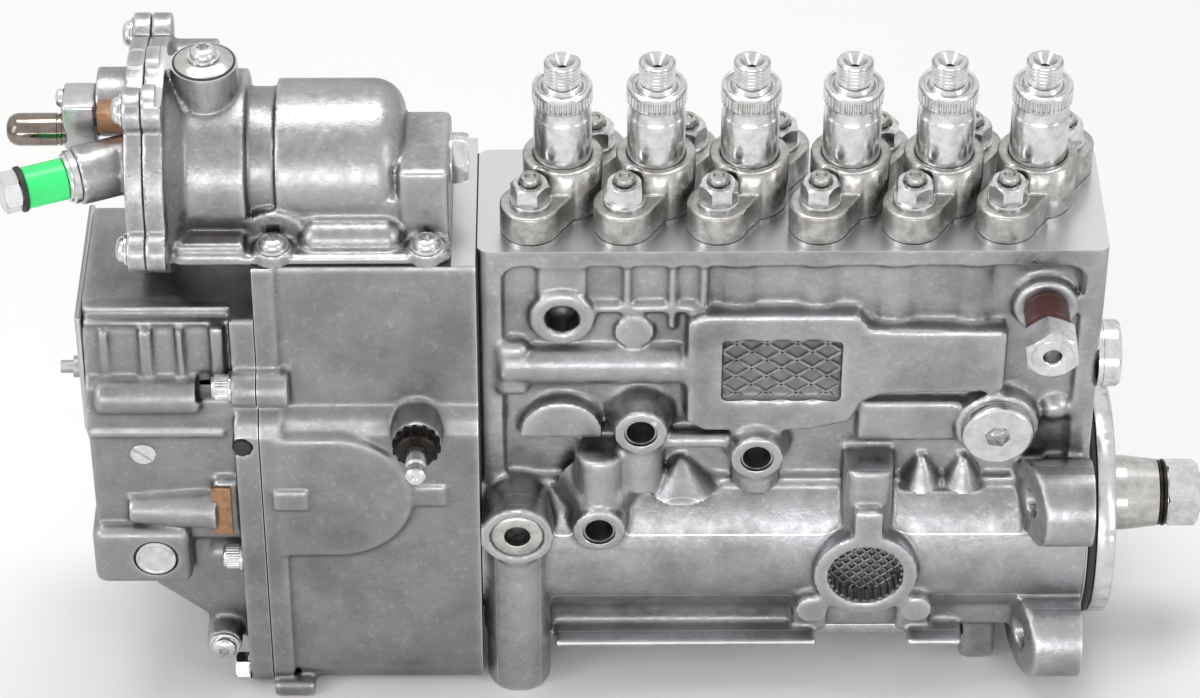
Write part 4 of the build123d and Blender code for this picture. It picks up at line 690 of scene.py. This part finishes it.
# %% Boost housing and its cover
TURRET = (-335.6, -2.2, TURRET_TOP)
boost = node_copy("boost_housing")
arches = [drum("Y", -29.5, -22, -311.6, 153.0, 13.5, sides=32),
          block(-348, -322, -38.5, -24, 150.5, 158.5, 1.5)]
boost = join(boost, *arches)
grow_past(boost, "Z", TURRET[2], 2.0)
melt(boost, CAST_VOXEL * 0.85, 4)
carve(boost, block(-352, -320, -30, 30, TURRET[2], 226), block(-330, -240, -60, 60, 140, 150.1))
for x in (-311.6, -254.6):
    for y in (-35.2, 35.2):
        carve(boost, drum("Z", 155.6, 161.5, x, y, 6.3))
modify(boost, "DECIMATE", ratio=0.5)
smooth(boost, 32)
place_piece(boost, "boost_housing_casting", "pump", "cast_cover", boost_cast, "boost_housing")
lid = node_copy("boost_cover")
melt(lid, CAST_VOXEL * 0.85, 4)
modify(lid, "DECIMATE", ratio=0.5)
smooth(lid, 32)
place_piece(lid, "boost_cover_casting", "pump", "cast_cover", boost_cast, "boost_cover")

# %% [markdown]
# The six delivery valve holders are turned from steel and zinc plated. From the deck upwards each has
# a plain barrel, a slightly smaller neck, a fluted collar with a raised rim, and the M14 x 1.5 outlet
# with its conical mouth. A turned part is made here as on a lathe: one ring of edges is extruded and
# scaled from step to step. The thread is drawn as plain grooves at the real pitch.

# %% One holder
HOLDER_TOP = 214.7
PITCH = 1.5
profile = [(171.8, 3.6), (171.8, 10.9), (190.9, 10.9), (191.5, 10.7), (192.1, 10.4), (197.0, 10.4),
           (197.0, 10.2),
           (203.4, 10.2), (203.4, 9.2), (203.0, 8.8), (203.0, 8.2), (203.6, 7.9), (204.9, 7.2)]
level = 205.3
while level < HOLDER_TOP - 1.8:
    profile += [(level, 6.2), (level + 0.3, 6.2), (level + PITCH / 2, 6.85),
                (level + PITCH / 2 + 0.2, 6.85)]
    level += PITCH
profile += [(HOLDER_TOP - 1.3, 6.3), (HOLDER_TOP - 0.5, 6.0), (HOLDER_TOP, 5.3), (HOLDER_TOP, 4.6),
            (HOLDER_TOP - 3.6, 1.9), (HOLDER_TOP - 8.0, 1.6), (188.0, 1.6), (188.0, 3.6), (171.8, 3.6)]
holder = lathe("holder", profile, 56, closed=True)


def fluted_ring(r_out, r_in, low, high, teeth):
    """A ring whose outside has straight flutes: every second vertex of a circle is drawn in."""
    deselect()
    bpy.ops.mesh.primitive_circle_add(vertices=teeth * 4, radius=r_out * MM, location=(0, 0, low * MM))
    ring = settle(bpy.context.object)
    bpy.ops.object.mode_set(mode="EDIT")
    bpy.ops.mesh.select_all(action="DESELECT")
    mesh = bmesh.from_edit_mesh(ring.data)
    mesh.verts.ensure_lookup_table()
    for i, vertex in enumerate(mesh.verts):
        vertex.select = i % 4 in (2, 3)
    mesh.select_flush(True)
    bmesh.update_edit_mesh(ring.data)
    bpy.ops.transform.resize(value=(r_in / r_out, r_in / r_out, 1), center_override=(0, 0, low * MM))
    bpy.ops.mesh.select_all(action="SELECT")
    bpy.ops.mesh.edge_face_add()
    bpy.ops.mesh.extrude_region_move(TRANSFORM_OT_translate={"value": (0, 0, (high - low) * MM)})
    bpy.ops.mesh.select_all(action="SELECT")
    bpy.ops.mesh.normals_make_consistent(inside=False)
    bpy.ops.object.mode_set(mode="OBJECT")
    return ring


flutes = fluted_ring(11.25, 10.55, 197.2, 202.6, 38)
rim = lathe("rim", [(202.2, 9.6), (202.2, 11.2), (203.2, 11.25), (203.9, 10.9), (204.2, 10.3), (204.0, 9.7),
                    (202.2, 9.6)],
            56, closed=True)
foot = lathe("foot", [(196.6, 10.0), (196.6, 10.9), (197.3, 11.2), (197.6, 11.2), (197.6, 10.0), (196.6,
    10.0)], 56,
             closed=True)
carve(flutes, drum("Z", 190, 206, 0, 0, 9.8))
holder = join(holder, flutes, rim, foot)
holders = lay_out(holder, *[((x, 0, 0), UP, 0.3 * i) for i, x in enumerate(ELEMENTS)])
smooth(holders, 28)
place_piece(holders, "delivery_holders_turned", "pump", "zinc", zinc, "delivery_holders")

# %% [markdown]
# Each holder is clamped by a forged flange with two diagonal ears. Its edges are rounded by tumbling,
# its side shows the marks of the broach, and a ring stands up round the holder. A bevel on all sharp
# edges of the merged CAD form gives the rounding.

# %% Flange bushings
bushings = node_copy("flange_bushings")
modify(bushings, "BEVEL", width=0.9 * MM, segments=3, limit_method="ANGLE", angle_limit=math.radians(50))
smooth(bushings, 40)
place_piece(bushings, "flange_bushings_forged", "pump", "bushing_steel", zinc_dull, "flange_bushings")

# %% [markdown]
# The twelve nuts have chamfered corners, the washers under them a rounded rim, and the studs a rounded
# end above a few turns of thread. The chamfer of a real nut is turned before the flats are milled, so
# the hexagon here is cut by a cone in the same way.

# %% Nuts, washers and studs


def hex_nut(flats, height, bore, chamfer):
    """A hexagon nut on Z with turned chamfers, in millimetres."""
    nut = drum("Z", 0, height, 0, 0, flats / math.sqrt(3), sides=6)
    corner = flats / math.sqrt(3)
    turned = lathe("chamfer", [(0, flats / 2 + 0.2), (chamfer * 0.5, corner + 0.05), (height - chamfer,
        corner + 0.05),
                               (height, flats / 2 - 0.3)], 64)
    carve(nut, turned, operation="INTERSECT")
    if bore:
        carve(nut, drum("Z", -1, height + 1, 0, 0, bore, sides=40),
              drum("Z", height - 0.7, height + 0.3, 0, 0, bore, bore + 1.0, sides=40))
    return nut


nut = hex_nut(13.0, 7.5, 4.0, 1.5)
washer = lathe("washer", [(0, 4.3), (0, 7.7), (0.4, 7.9), (1.2, 7.9), (1.6, 7.5), (1.6, 4.3), (0, 4.3)], 48,
               closed=True)
stud_rings = [(-28.0, 3.9), (-1.0, 3.9)]
for i in range(7):
    stud_rings += [(i * 1.25 - 0.4, 3.5), (i * 1.25 + 0.2, 3.95)]
stud_rings += [(8.0, 3.3), (8.6, 3.3), (9.6, 3.9), (11.3, 3.9), (12.0, 3.5), (12.1, 2.1), (11.2, 1.7)]
stud = lathe("stud", stud_rings, 32)
seats = []
for i, x in enumerate(ELEMENTS):
    for side in (-1, 1):
        seats.append(((x + side * 12.1, side * 18.1), 0.35 + 0.7 * i + (0.4 if side > 0 else 0)))
nuts = lay_out(nut, *[((*place, 164.6), UP, spin) for place, spin in seats])
washers = lay_out(washer, *[((*place, 163.0), UP) for place, spin in seats])
studs = lay_out(stud, *[((*place, 163.0), UP) for place, spin in seats])
smooth(join(nuts, washers), 25)
place_piece(nuts, "flange_nuts_and_washers", "pump", "zinc", zinc, "flange_nuts")
smooth(studs, 35)
place_piece(studs, "flange_studs_threaded", "pump", "zinc", zinc_dull, "flange_studs")

# %% [markdown]
# The Torx pan screws hold the boost unit. Each has a washer, a domed head and a six-lobed recess, cut
# by six small drums round a larger one.

# %% Torx screws
head = lathe("torx", [(-8.5, 2.9), (0, 2.9), (0, 5.9), (0.3, 6.15), (1.0, 6.15), (1.25, 5.8), (1.3, 4.8),
                      (1.5, 5.0),
                      (2.6, 4.9), (3.4, 4.4), (4.0, 3.5), (4.35, 2.2)], 48)
carve(head, drum("Z", 2.2, 6, 0, 0, 1.75, sides=24))
for i in range(6):
    carve(head, drum("Z", 2.2, 6, 1.75 * math.cos(i * math.pi / 3), 1.75 * math.sin(i * math.pi / 3), 0.62,
                     sides=16))
BOOST_FACE = -364.0
BOOST_Z = 172.0
seats = []
for i, degrees in enumerate((50, 122, 194, 302, 356)):
    angle = math.radians(degrees)
    seats.append(((BOOST_FACE, 45 * math.cos(angle), BOOST_Z + 45 * math.sin(angle)), LEFT, 0.5 * i))
for i, x in enumerate((-311.6, -254.6)):
    seats += [((x, -35.2, 155.6), UP, 0.3 + i), ((x, 35.2, 155.6), UP, 0.7 * i)]
seats += [((TURRET[0], TURRET[1], 218.5), UP, 0.2), ((-339.0, -48.0, -36.0), FRONT, 0.4)]
screws = lay_out(head, *seats)
smooth(screws, 30)
place_piece(screws, "torx_pan_screws", "pump", "zinc", zinc, "torx_screws")

# %% [markdown]
# The governor cover is held by socket cap screws with a knurled head, and by hexagon bolts below. The
# base plate has six plain screws.

# %% Cap screws, hexagon bolts and plate screws


def socket(piece, depth_from, depth_to, flats, axis_place=(0, 0)):
    """Cuts a hexagon socket with a drilled point."""
    carve(piece, drum("Z", depth_from, depth_to, *axis_place, flats / math.sqrt(3), sides=6))


cap = fluted_ring(5.0, 4.75, 0.2, 6.6, 30)
cap = join(cap, lathe("cap top", [(6.4, 4.6), (6.9, 4.7), (7.6, 4.5), (8.0, 4.0)], 40),
           lathe("cap washer", [(-9.0, 2.9), (0, 2.9), (0, 5.9), (0.3, 6.1), (1.3, 6.1), (1.6, 5.8)], 40))
modify(cap, "REMESH", mode="VOXEL", voxel_size=0.16 * MM)
modify(cap, "DECIMATE", ratio=0.12)
socket(cap, 4.0, 9.0, 5.0)
COVER_FACE = -329.2
caps = lay_out(cap, *[((COVER_FACE, y, z), LEFT, 0.3 * z) for y, z in ((-43, 94), (-44, 8), (43, 94), (44,
    8))])
bolt = hex_nut(10.0, 6.0, 0, 1.0)
bolt = join(bolt, lathe("bolt ring", [(-8.5, 2.9), (0, 2.9), (0, 5.4), (0.5, 5.6), (0.9, 5.2)], 32))
bolts = lay_out(bolt, *[((COVER_FACE, y, -50), LEFT, 0.5) for y in (-46, 46)])
low_screw = lathe("low screw", [(-8.5, 2.9), (0, 2.9), (0, 4.9), (2.4, 4.9), (3.1, 4.3), (3.4, 3.2), (3.4,
    2.4), (2.2, 2.2)], 32)
low_screws = lay_out(low_screw, *[((x, y, -43), DOWN, x) for x in (-199, -128.5, -58) for y in (-31.5,
    31.5)])
fixings = join(caps, bolts, low_screws)
smooth(fixings, 28)
place_piece(fixings, "cover_cap_screws_and_bolts", "pump", "zinc", zinc, "cover_screws")

# %% [markdown]
# The right end carries the overflow valve: a hexagon with a turned face and a bore, on a red-brown
# sleeve. The gallery plug beside it is aluminium with a socket, the cap of the rack is zinc plated.

# %% Overflow valve, sleeve, gallery plug and rack cap
valve = hex_nut(19.0, 11.5, 3.6, 1.2)
valve = join(valve, lathe("valve face", [(11.4, 3.7), (11.4, 8.0), (12.0, 7.7), (12.0, 4.6), (11.6, 3.7),
                                         (11.4, 3.7)], 48,
                          closed=True))
valve = join(valve, lathe("valve neck", [(-26.0, 5.4), (0.4, 5.4)], 40),
             lathe("valve shoulder", [(-0.05, 5.3), (-0.05, 8.4), (0.5, 8.4), (0.5, 5.3), (-0.05, 5.3)], 40,
                   closed=True))
valve = lay_out(valve, ((-22.4, -50.5, 123.0), FRONT, math.radians(8)))
smooth(valve, 25)
place_piece(valve, "overflow_valve_turned", "pump", "zinc", zinc, "overflow_valve")
sleeve = lathe("sleeve", [(0, 5.6), (0, 8.5), (1.6, 8.5), (1.9, 8.0), (3.0, 8.0), (3.3, 8.5), (12.0, 8.5),
                          (12.4, 8.1),
                          (16.4, 8.1), (16.9, 7.7), (16.9, 5.6), (0, 5.6)], 56, closed=True)
sleeve = lay_out(sleeve, ((-22.4, -33.6, 123.0), FRONT))
smooth(sleeve, 30)
place_piece(sleeve, "overflow_sleeve_moulded", "pump", "red_brown", brown_plastic, "overflow_sleeve")
plug = lathe("plug", [(-10, 10.9), (0, 10.9), (0, 13.8), (0.4, 14.0), (3.4, 14.0), (4.4, 13.5), (5.0, 12.6),
                      (4.9, 7.4)], 72)
socket(plug, 0.4, 6.0, 9.0)
carve(plug, drum("Z", -1.2, 1.0, 0, 0, 2.0, 4.2, 24))
plug = lay_out(plug, ((-37.5, -36.0, 65.5), FRONT, math.radians(20)))
smooth(plug, 28)
place_piece(plug, "gallery_plug_turned", "pump", "machined", turned_aluminium, "gallery_plug")
cap = lathe("rack cap", [(0, 11.0), (0, 13.0), (1.4, 13.0), (1.6, 12.2), (2.0, 12.2), (2.2, 12.9), (7.6,
    12.9),
                         (8.7, 12.2), (9.0, 11.0), (9.0, 6.0), (8.6, 5.4), (8.6, 0.4)], 64)
carve(cap, drum("Z", -1, 7.0, 0, 0, 10.9))
cap = lay_out(cap, ((0, -20, 90), RIGHT))
smooth(cap, 30)
place_piece(cap, "rack_cap_turned", "pump", "zinc", zinc, "rack_cap")

# %% [markdown]
# The drive end turns with the camshaft: a black lock washer of two leaves and the zinc plated nut.

# %% Drive nut and lock washer
nut = hex_nut(24.0, 13.0, 7.9, 1.8)
nut = join(nut, lathe("nut collar", [(-0.02, 8.1), (-0.02, 12.6), (0.6, 12.8), (0.9, 12.4), (0.9, 8.1),
                                     (-0.02, 8.1)], 48,
                      closed=True))
nut = lay_out(nut, ((36.4, 0, 0), RIGHT, math.radians(3)))
smooth(nut, 25)
place_piece(nut, "drive_nut_turned", "rotor", "zinc", zinc, "drive_nut")
leaves = lathe("leaves", [(0, 8.2), (0, 12.6), (0.5, 13.1), (1.3, 13.1), (1.6, 12.2), (1.8, 12.2), (2.1,
    13.4),
                          (3.0, 13.4), (3.4, 12.9), (3.4, 8.2), (0, 8.2)], 56, closed=True)
leaves = lay_out(leaves, ((33.0, 0, 0), RIGHT))
smooth(leaves, 30)
place_piece(leaves, "lock_washer_leaves", "rotor", "dark_steel", black_steel, "lock_washer")

# %% [markdown]
# The control shaft comes out of the governor's front. Its stub carries a toothed ring of dark steel,
# and at the back a flat lever takes the throttle linkage.

# %% Control shaft, toothed ring and lever
shaft = lathe("shaft", [(-62.0, 4.0), (70.0, 4.0), (71.0, 3.3), (72.0, 3.3), (73.0, 4.0), (75.6, 4.0),
                        (76.4, 3.2),
                        (76.4, 1.4), (75.8, 0.8)], 40)
shaft = lay_out(shaft, ((-259.7, 0, 77), FRONT))
smooth(shaft, 30)
place_piece(shaft, "control_shaft_turned", "control", "zinc", zinc, "control_shaft")
teeth = fluted_ring(9.3, 7.9, 56.5, 59.6, 14)
teeth = join(teeth, lathe("ring back", [(59.4, 4.1), (59.4, 7.9), (61.2, 7.8), (62.0, 7.0), (62.0, 4.1),
                                        (59.4, 4.1)], 48,
                          closed=True))
teeth = lay_out(teeth, ((-259.7, 0, 77), FRONT))
smooth(teeth, 25)
place_piece(teeth, "control_toothed_ring", "control", "dark_steel", black_steel)
arm = join(drum("Y", 55.0, 61.0, -259.7, 77, 9.0), drum("Y", 55.0, 61.0, -259.7, 119, 7.4),
           block(-265.7, -253.7, 55.0, 61.0, 77, 119))
modify(arm, "REMESH", mode="VOXEL", voxel_size=0.5 * MM)
modify(arm, "SMOOTH", factor=0.5, iterations=3)
carve(arm, drum("Y", 50, 66, -259.7, 119, 3.1))
modify(arm, "DECIMATE", ratio=0.3)
smooth(arm, 30)
place_piece(arm, "control_lever_pressed", "control", "zinc", zinc_dull)

# %% [markdown]
# The pressure port of the boost cover leans to the front. A green sleeve sits on its bolt between a
# bright and a black washer. Beside it a block holds the polished steel pin.

# %% Pressure port: bolt, washers and green sleeve
TILT = math.radians(22)
PORT_AXIS = (-math.cos(TILT), -math.sin(TILT), 0)
PORT_PLACE = (BOOST_FACE, -19.6, 182.8)
green = lathe("green", [(24.9, 5.1), (24.9, 7.5), (25.3, 7.8), (39.9, 7.8), (40.3, 7.5), (40.3, 5.1), (24.9,
    5.1)], 64,
              closed=True)
green = lay_out(green, (PORT_PLACE, PORT_AXIS))
smooth(green, 30)
place_piece(green, "port_sleeve_green", "pump", "green", green_plastic, "boost_port_sleeve")
bolt = hex_nut(14.0, 6.5, 0, 1.2)
bolt = lay_out(bolt, ((0, 0, 42.5),))
shank = drum("Z", 4.2, 42.6, 0, 0, 4.9, sides=32)
bright = lathe("bright washer", [(20.5, 5.1), (20.5, 9.4), (20.9, 9.9), (23.0, 10.1), (23.4, 9.6), (23.6,
    9.1),
                                 (24.6, 9.0), (24.8, 8.6), (24.8, 5.1), (20.5, 5.1)], 56, closed=True)
bolt = lay_out(join(bolt, shank, bright), (PORT_PLACE, PORT_AXIS, 0.4))
smooth(bolt, 25)
place_piece(bolt, "port_bolt_turned", "pump", "zinc", zinc, "boost_port_bolt")
dark = lathe("dark washer", [(40.4, 5.1), (40.4, 8.3), (40.7, 8.6), (42.1, 8.6), (42.4, 8.3), (42.4, 5.1),
                             (40.4, 5.1)], 56,
             closed=True)
dark = lay_out(dark, (PORT_PLACE, PORT_AXIS))
smooth(dark, 30)
place_piece(dark, "port_black_washer", "pump", "black_rubber", rubber)

# %% Stop block, steel pin and its screw
stop = block(-389.0, -376.5, -8, 8, 179.6, 199.9)
modify(stop, "BEVEL", width=1.4 * MM, segments=3)
smooth(stop, 40)
place_piece(stop, "stop_block_cast", "pump", "zinc", boost_cast, "stop_block")
pin = lathe("pin", [(-1, 5.6), (0.4, 5.6), (0.6, 6.1), (1.6, 6.1), (1.8, 5.7), (2.2, 5.7), (2.4, 6.15),
                    (16.8, 6.15),
                    (18.6, 5.7), (20.2, 4.6), (21.1, 3.0), (21.4, 1.2)], 56)
pin = lay_out(pin, ((-389.0, -3.0, 186.0), LEFT))
smooth(pin, 35)
place_piece(pin, "stop_pin_polished", "pump", "dark_steel", polished_steel)
small = lathe("small screw", [(-4, 2.4), (0, 2.4), (0, 3.5), (1.6, 3.5), (2.5, 2.9), (2.9, 1.8)], 36)
carve(small, drum("Z", 1.6, 4, 0, 0, 1.2, sides=6))
small = lay_out(small, ((-389.0, 3.0, 196.0), LEFT))
smooth(small, 30)
place_piece(small, "stop_block_screw", "pump", "zinc", zinc)

# %% [markdown]
# The turret's dish is a turned cone; a thin black ring round its foot is painted shadow under the dish.
# The plugs in the governor cover are a slotted screw, a pressed cup and a rubber stopper.

# %% Turret dish and its ring
dish = lathe("dish", [(216.0, 10.6), (216.5, 10.9), (217.2, 9.8), (218.3, 7.3), (218.45, 6.6), (218.45,
    3.1), (216.0, 3.1),
                      (216.0, 10.6)], 64, closed=True)
dish = lay_out(dish, ((TURRET[0], TURRET[1], 0), UP))
smooth(dish, 25)
place_piece(dish, "turret_dish_turned", "pump", "zinc", turned_steel, "turret_dish")
# Painted shadow: a thin black ring round the dish's foot stands for the shade beneath it.
shadow = lathe("dark ring", [(215.9, 10.9), (215.9, 11.7), (216.2, 11.7), (216.3, 11.4), (216.3, 10.9),
                             (215.9, 10.9)], 64,
               closed=True)
shadow = lay_out(shadow, ((TURRET[0], TURRET[1], 0), UP))
place_piece(shadow, "turret_painted_shadow_ring", "pump", "black_rubber", rubber)

# %% Plugs of the governor cover
slotted = lathe("slotted", [(-0.9, 4.9), (0.7, 4.9), (1.0, 4.5)], 48)
carve(slotted, block(-6, 6, -0.6, 0.6, 0.35, 2))
slotted = lay_out(slotted, ((-365.0, -44.0, 61.5), FRONT, math.radians(-40)))
cup = lathe("cup", [(0, 8.0), (2.6, 8.1), (3.3, 7.7), (3.4, 7.0), (3.0, 6.4), (2.9, 0.3)], 56)
cup = lay_out(cup, ((-363.0, -47.0, 12.0), FRONT))
smooth(join(cup, slotted), 28)
place_piece(cup, "cover_plugs_turned", "pump", "zinc", zinc, "cover_plugs")
stopper = lathe("stopper", [(0, 3.8), (6.2, 3.8), (7.1, 3.3), (7.5, 2.4), (7.5, 0.3)], 36)
stopper = lay_out(stopper, ((-326.5, -44.0, 70.0), FRONT))
smooth(stopper, 35)
place_piece(stopper, "cover_rubber_stopper", "pump", "black_rubber", rubber)

# %% [markdown]
# The remaining machined pieces keep their CAD form and get broken edges, as every real edge has.

# %% Broken edges
for node, name, body_name, slot, material, width in (
        ("bearing_cover", "pilot_cover_turned", "pump", "machined", turned_aluminium, 0.5),
        ("steel_bush", "steel_bush_turned", "pump", "steel", turned_steel, 0.4),
        ("end_plate", "end_plate_cast", "pump", "cast_cover", governor_cast, 0.5),
        ("copper_clips", "copper_clips_folded", "pump", "copper", copper_clip, 0.35),
        ("base_plate", "base_plate_milled", "pump", "machined", milled_aluminium, 0.6),
        ("boost_end_plug", "boost_end_plug_turned", "pump", "zinc", zinc, 0.4)):
    piece = node_copy(node)
    modify(piece, "BEVEL", width=width * MM, segments=2, limit_method="ANGLE", angle_limit=math.radians(50))
    smooth(piece, 35)
    place_piece(piece, name, body_name, slot, material, node)

# %% Floor
deselect()
bpy.ops.mesh.primitive_plane_add(size=8, location=(-0.2, 0, cad_low.z))
floor = bpy.context.object
floor.name = "floor"
paint = bpy.data.materials.new("pale_floor")
paint.use_nodes = True
shader = paint.node_tree.nodes["Principled BSDF"]
shader.inputs["Base Color"].default_value = hex_colour("#FDFDFC")
shader.inputs["Roughness"].default_value = 0.9
floor.data.materials.append(paint)
floor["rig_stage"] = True

# %% Finishes of the CAD nodes that stay
slot_finish = {"cast_body": body_cast, "cast_cover": governor_cast, "machined": milled_aluminium,
               "steel": turned_steel, "zinc": zinc, "dark_steel": black_steel, "bushing_steel": zinc_dull,
               "copper": copper_clip, "red_brown": brown_plastic, "green": green_plastic,
               "black_rubber": rubber, "gasket": gasket_paper, "spring": spring_steel}
slot_of = {entry["node"]: entry["material_slot"] for entry in frame["record"]["subparts"]}
for name, node in frame["nodes"].items():
    node.data.materials.clear()
    node.data.materials.append(slot_finish[slot_of[name]])
print("finished", len(frame["nodes"]), "nodes")

low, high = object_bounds()
print("visual box", [round(v, 4) for v in (*low, *high)])
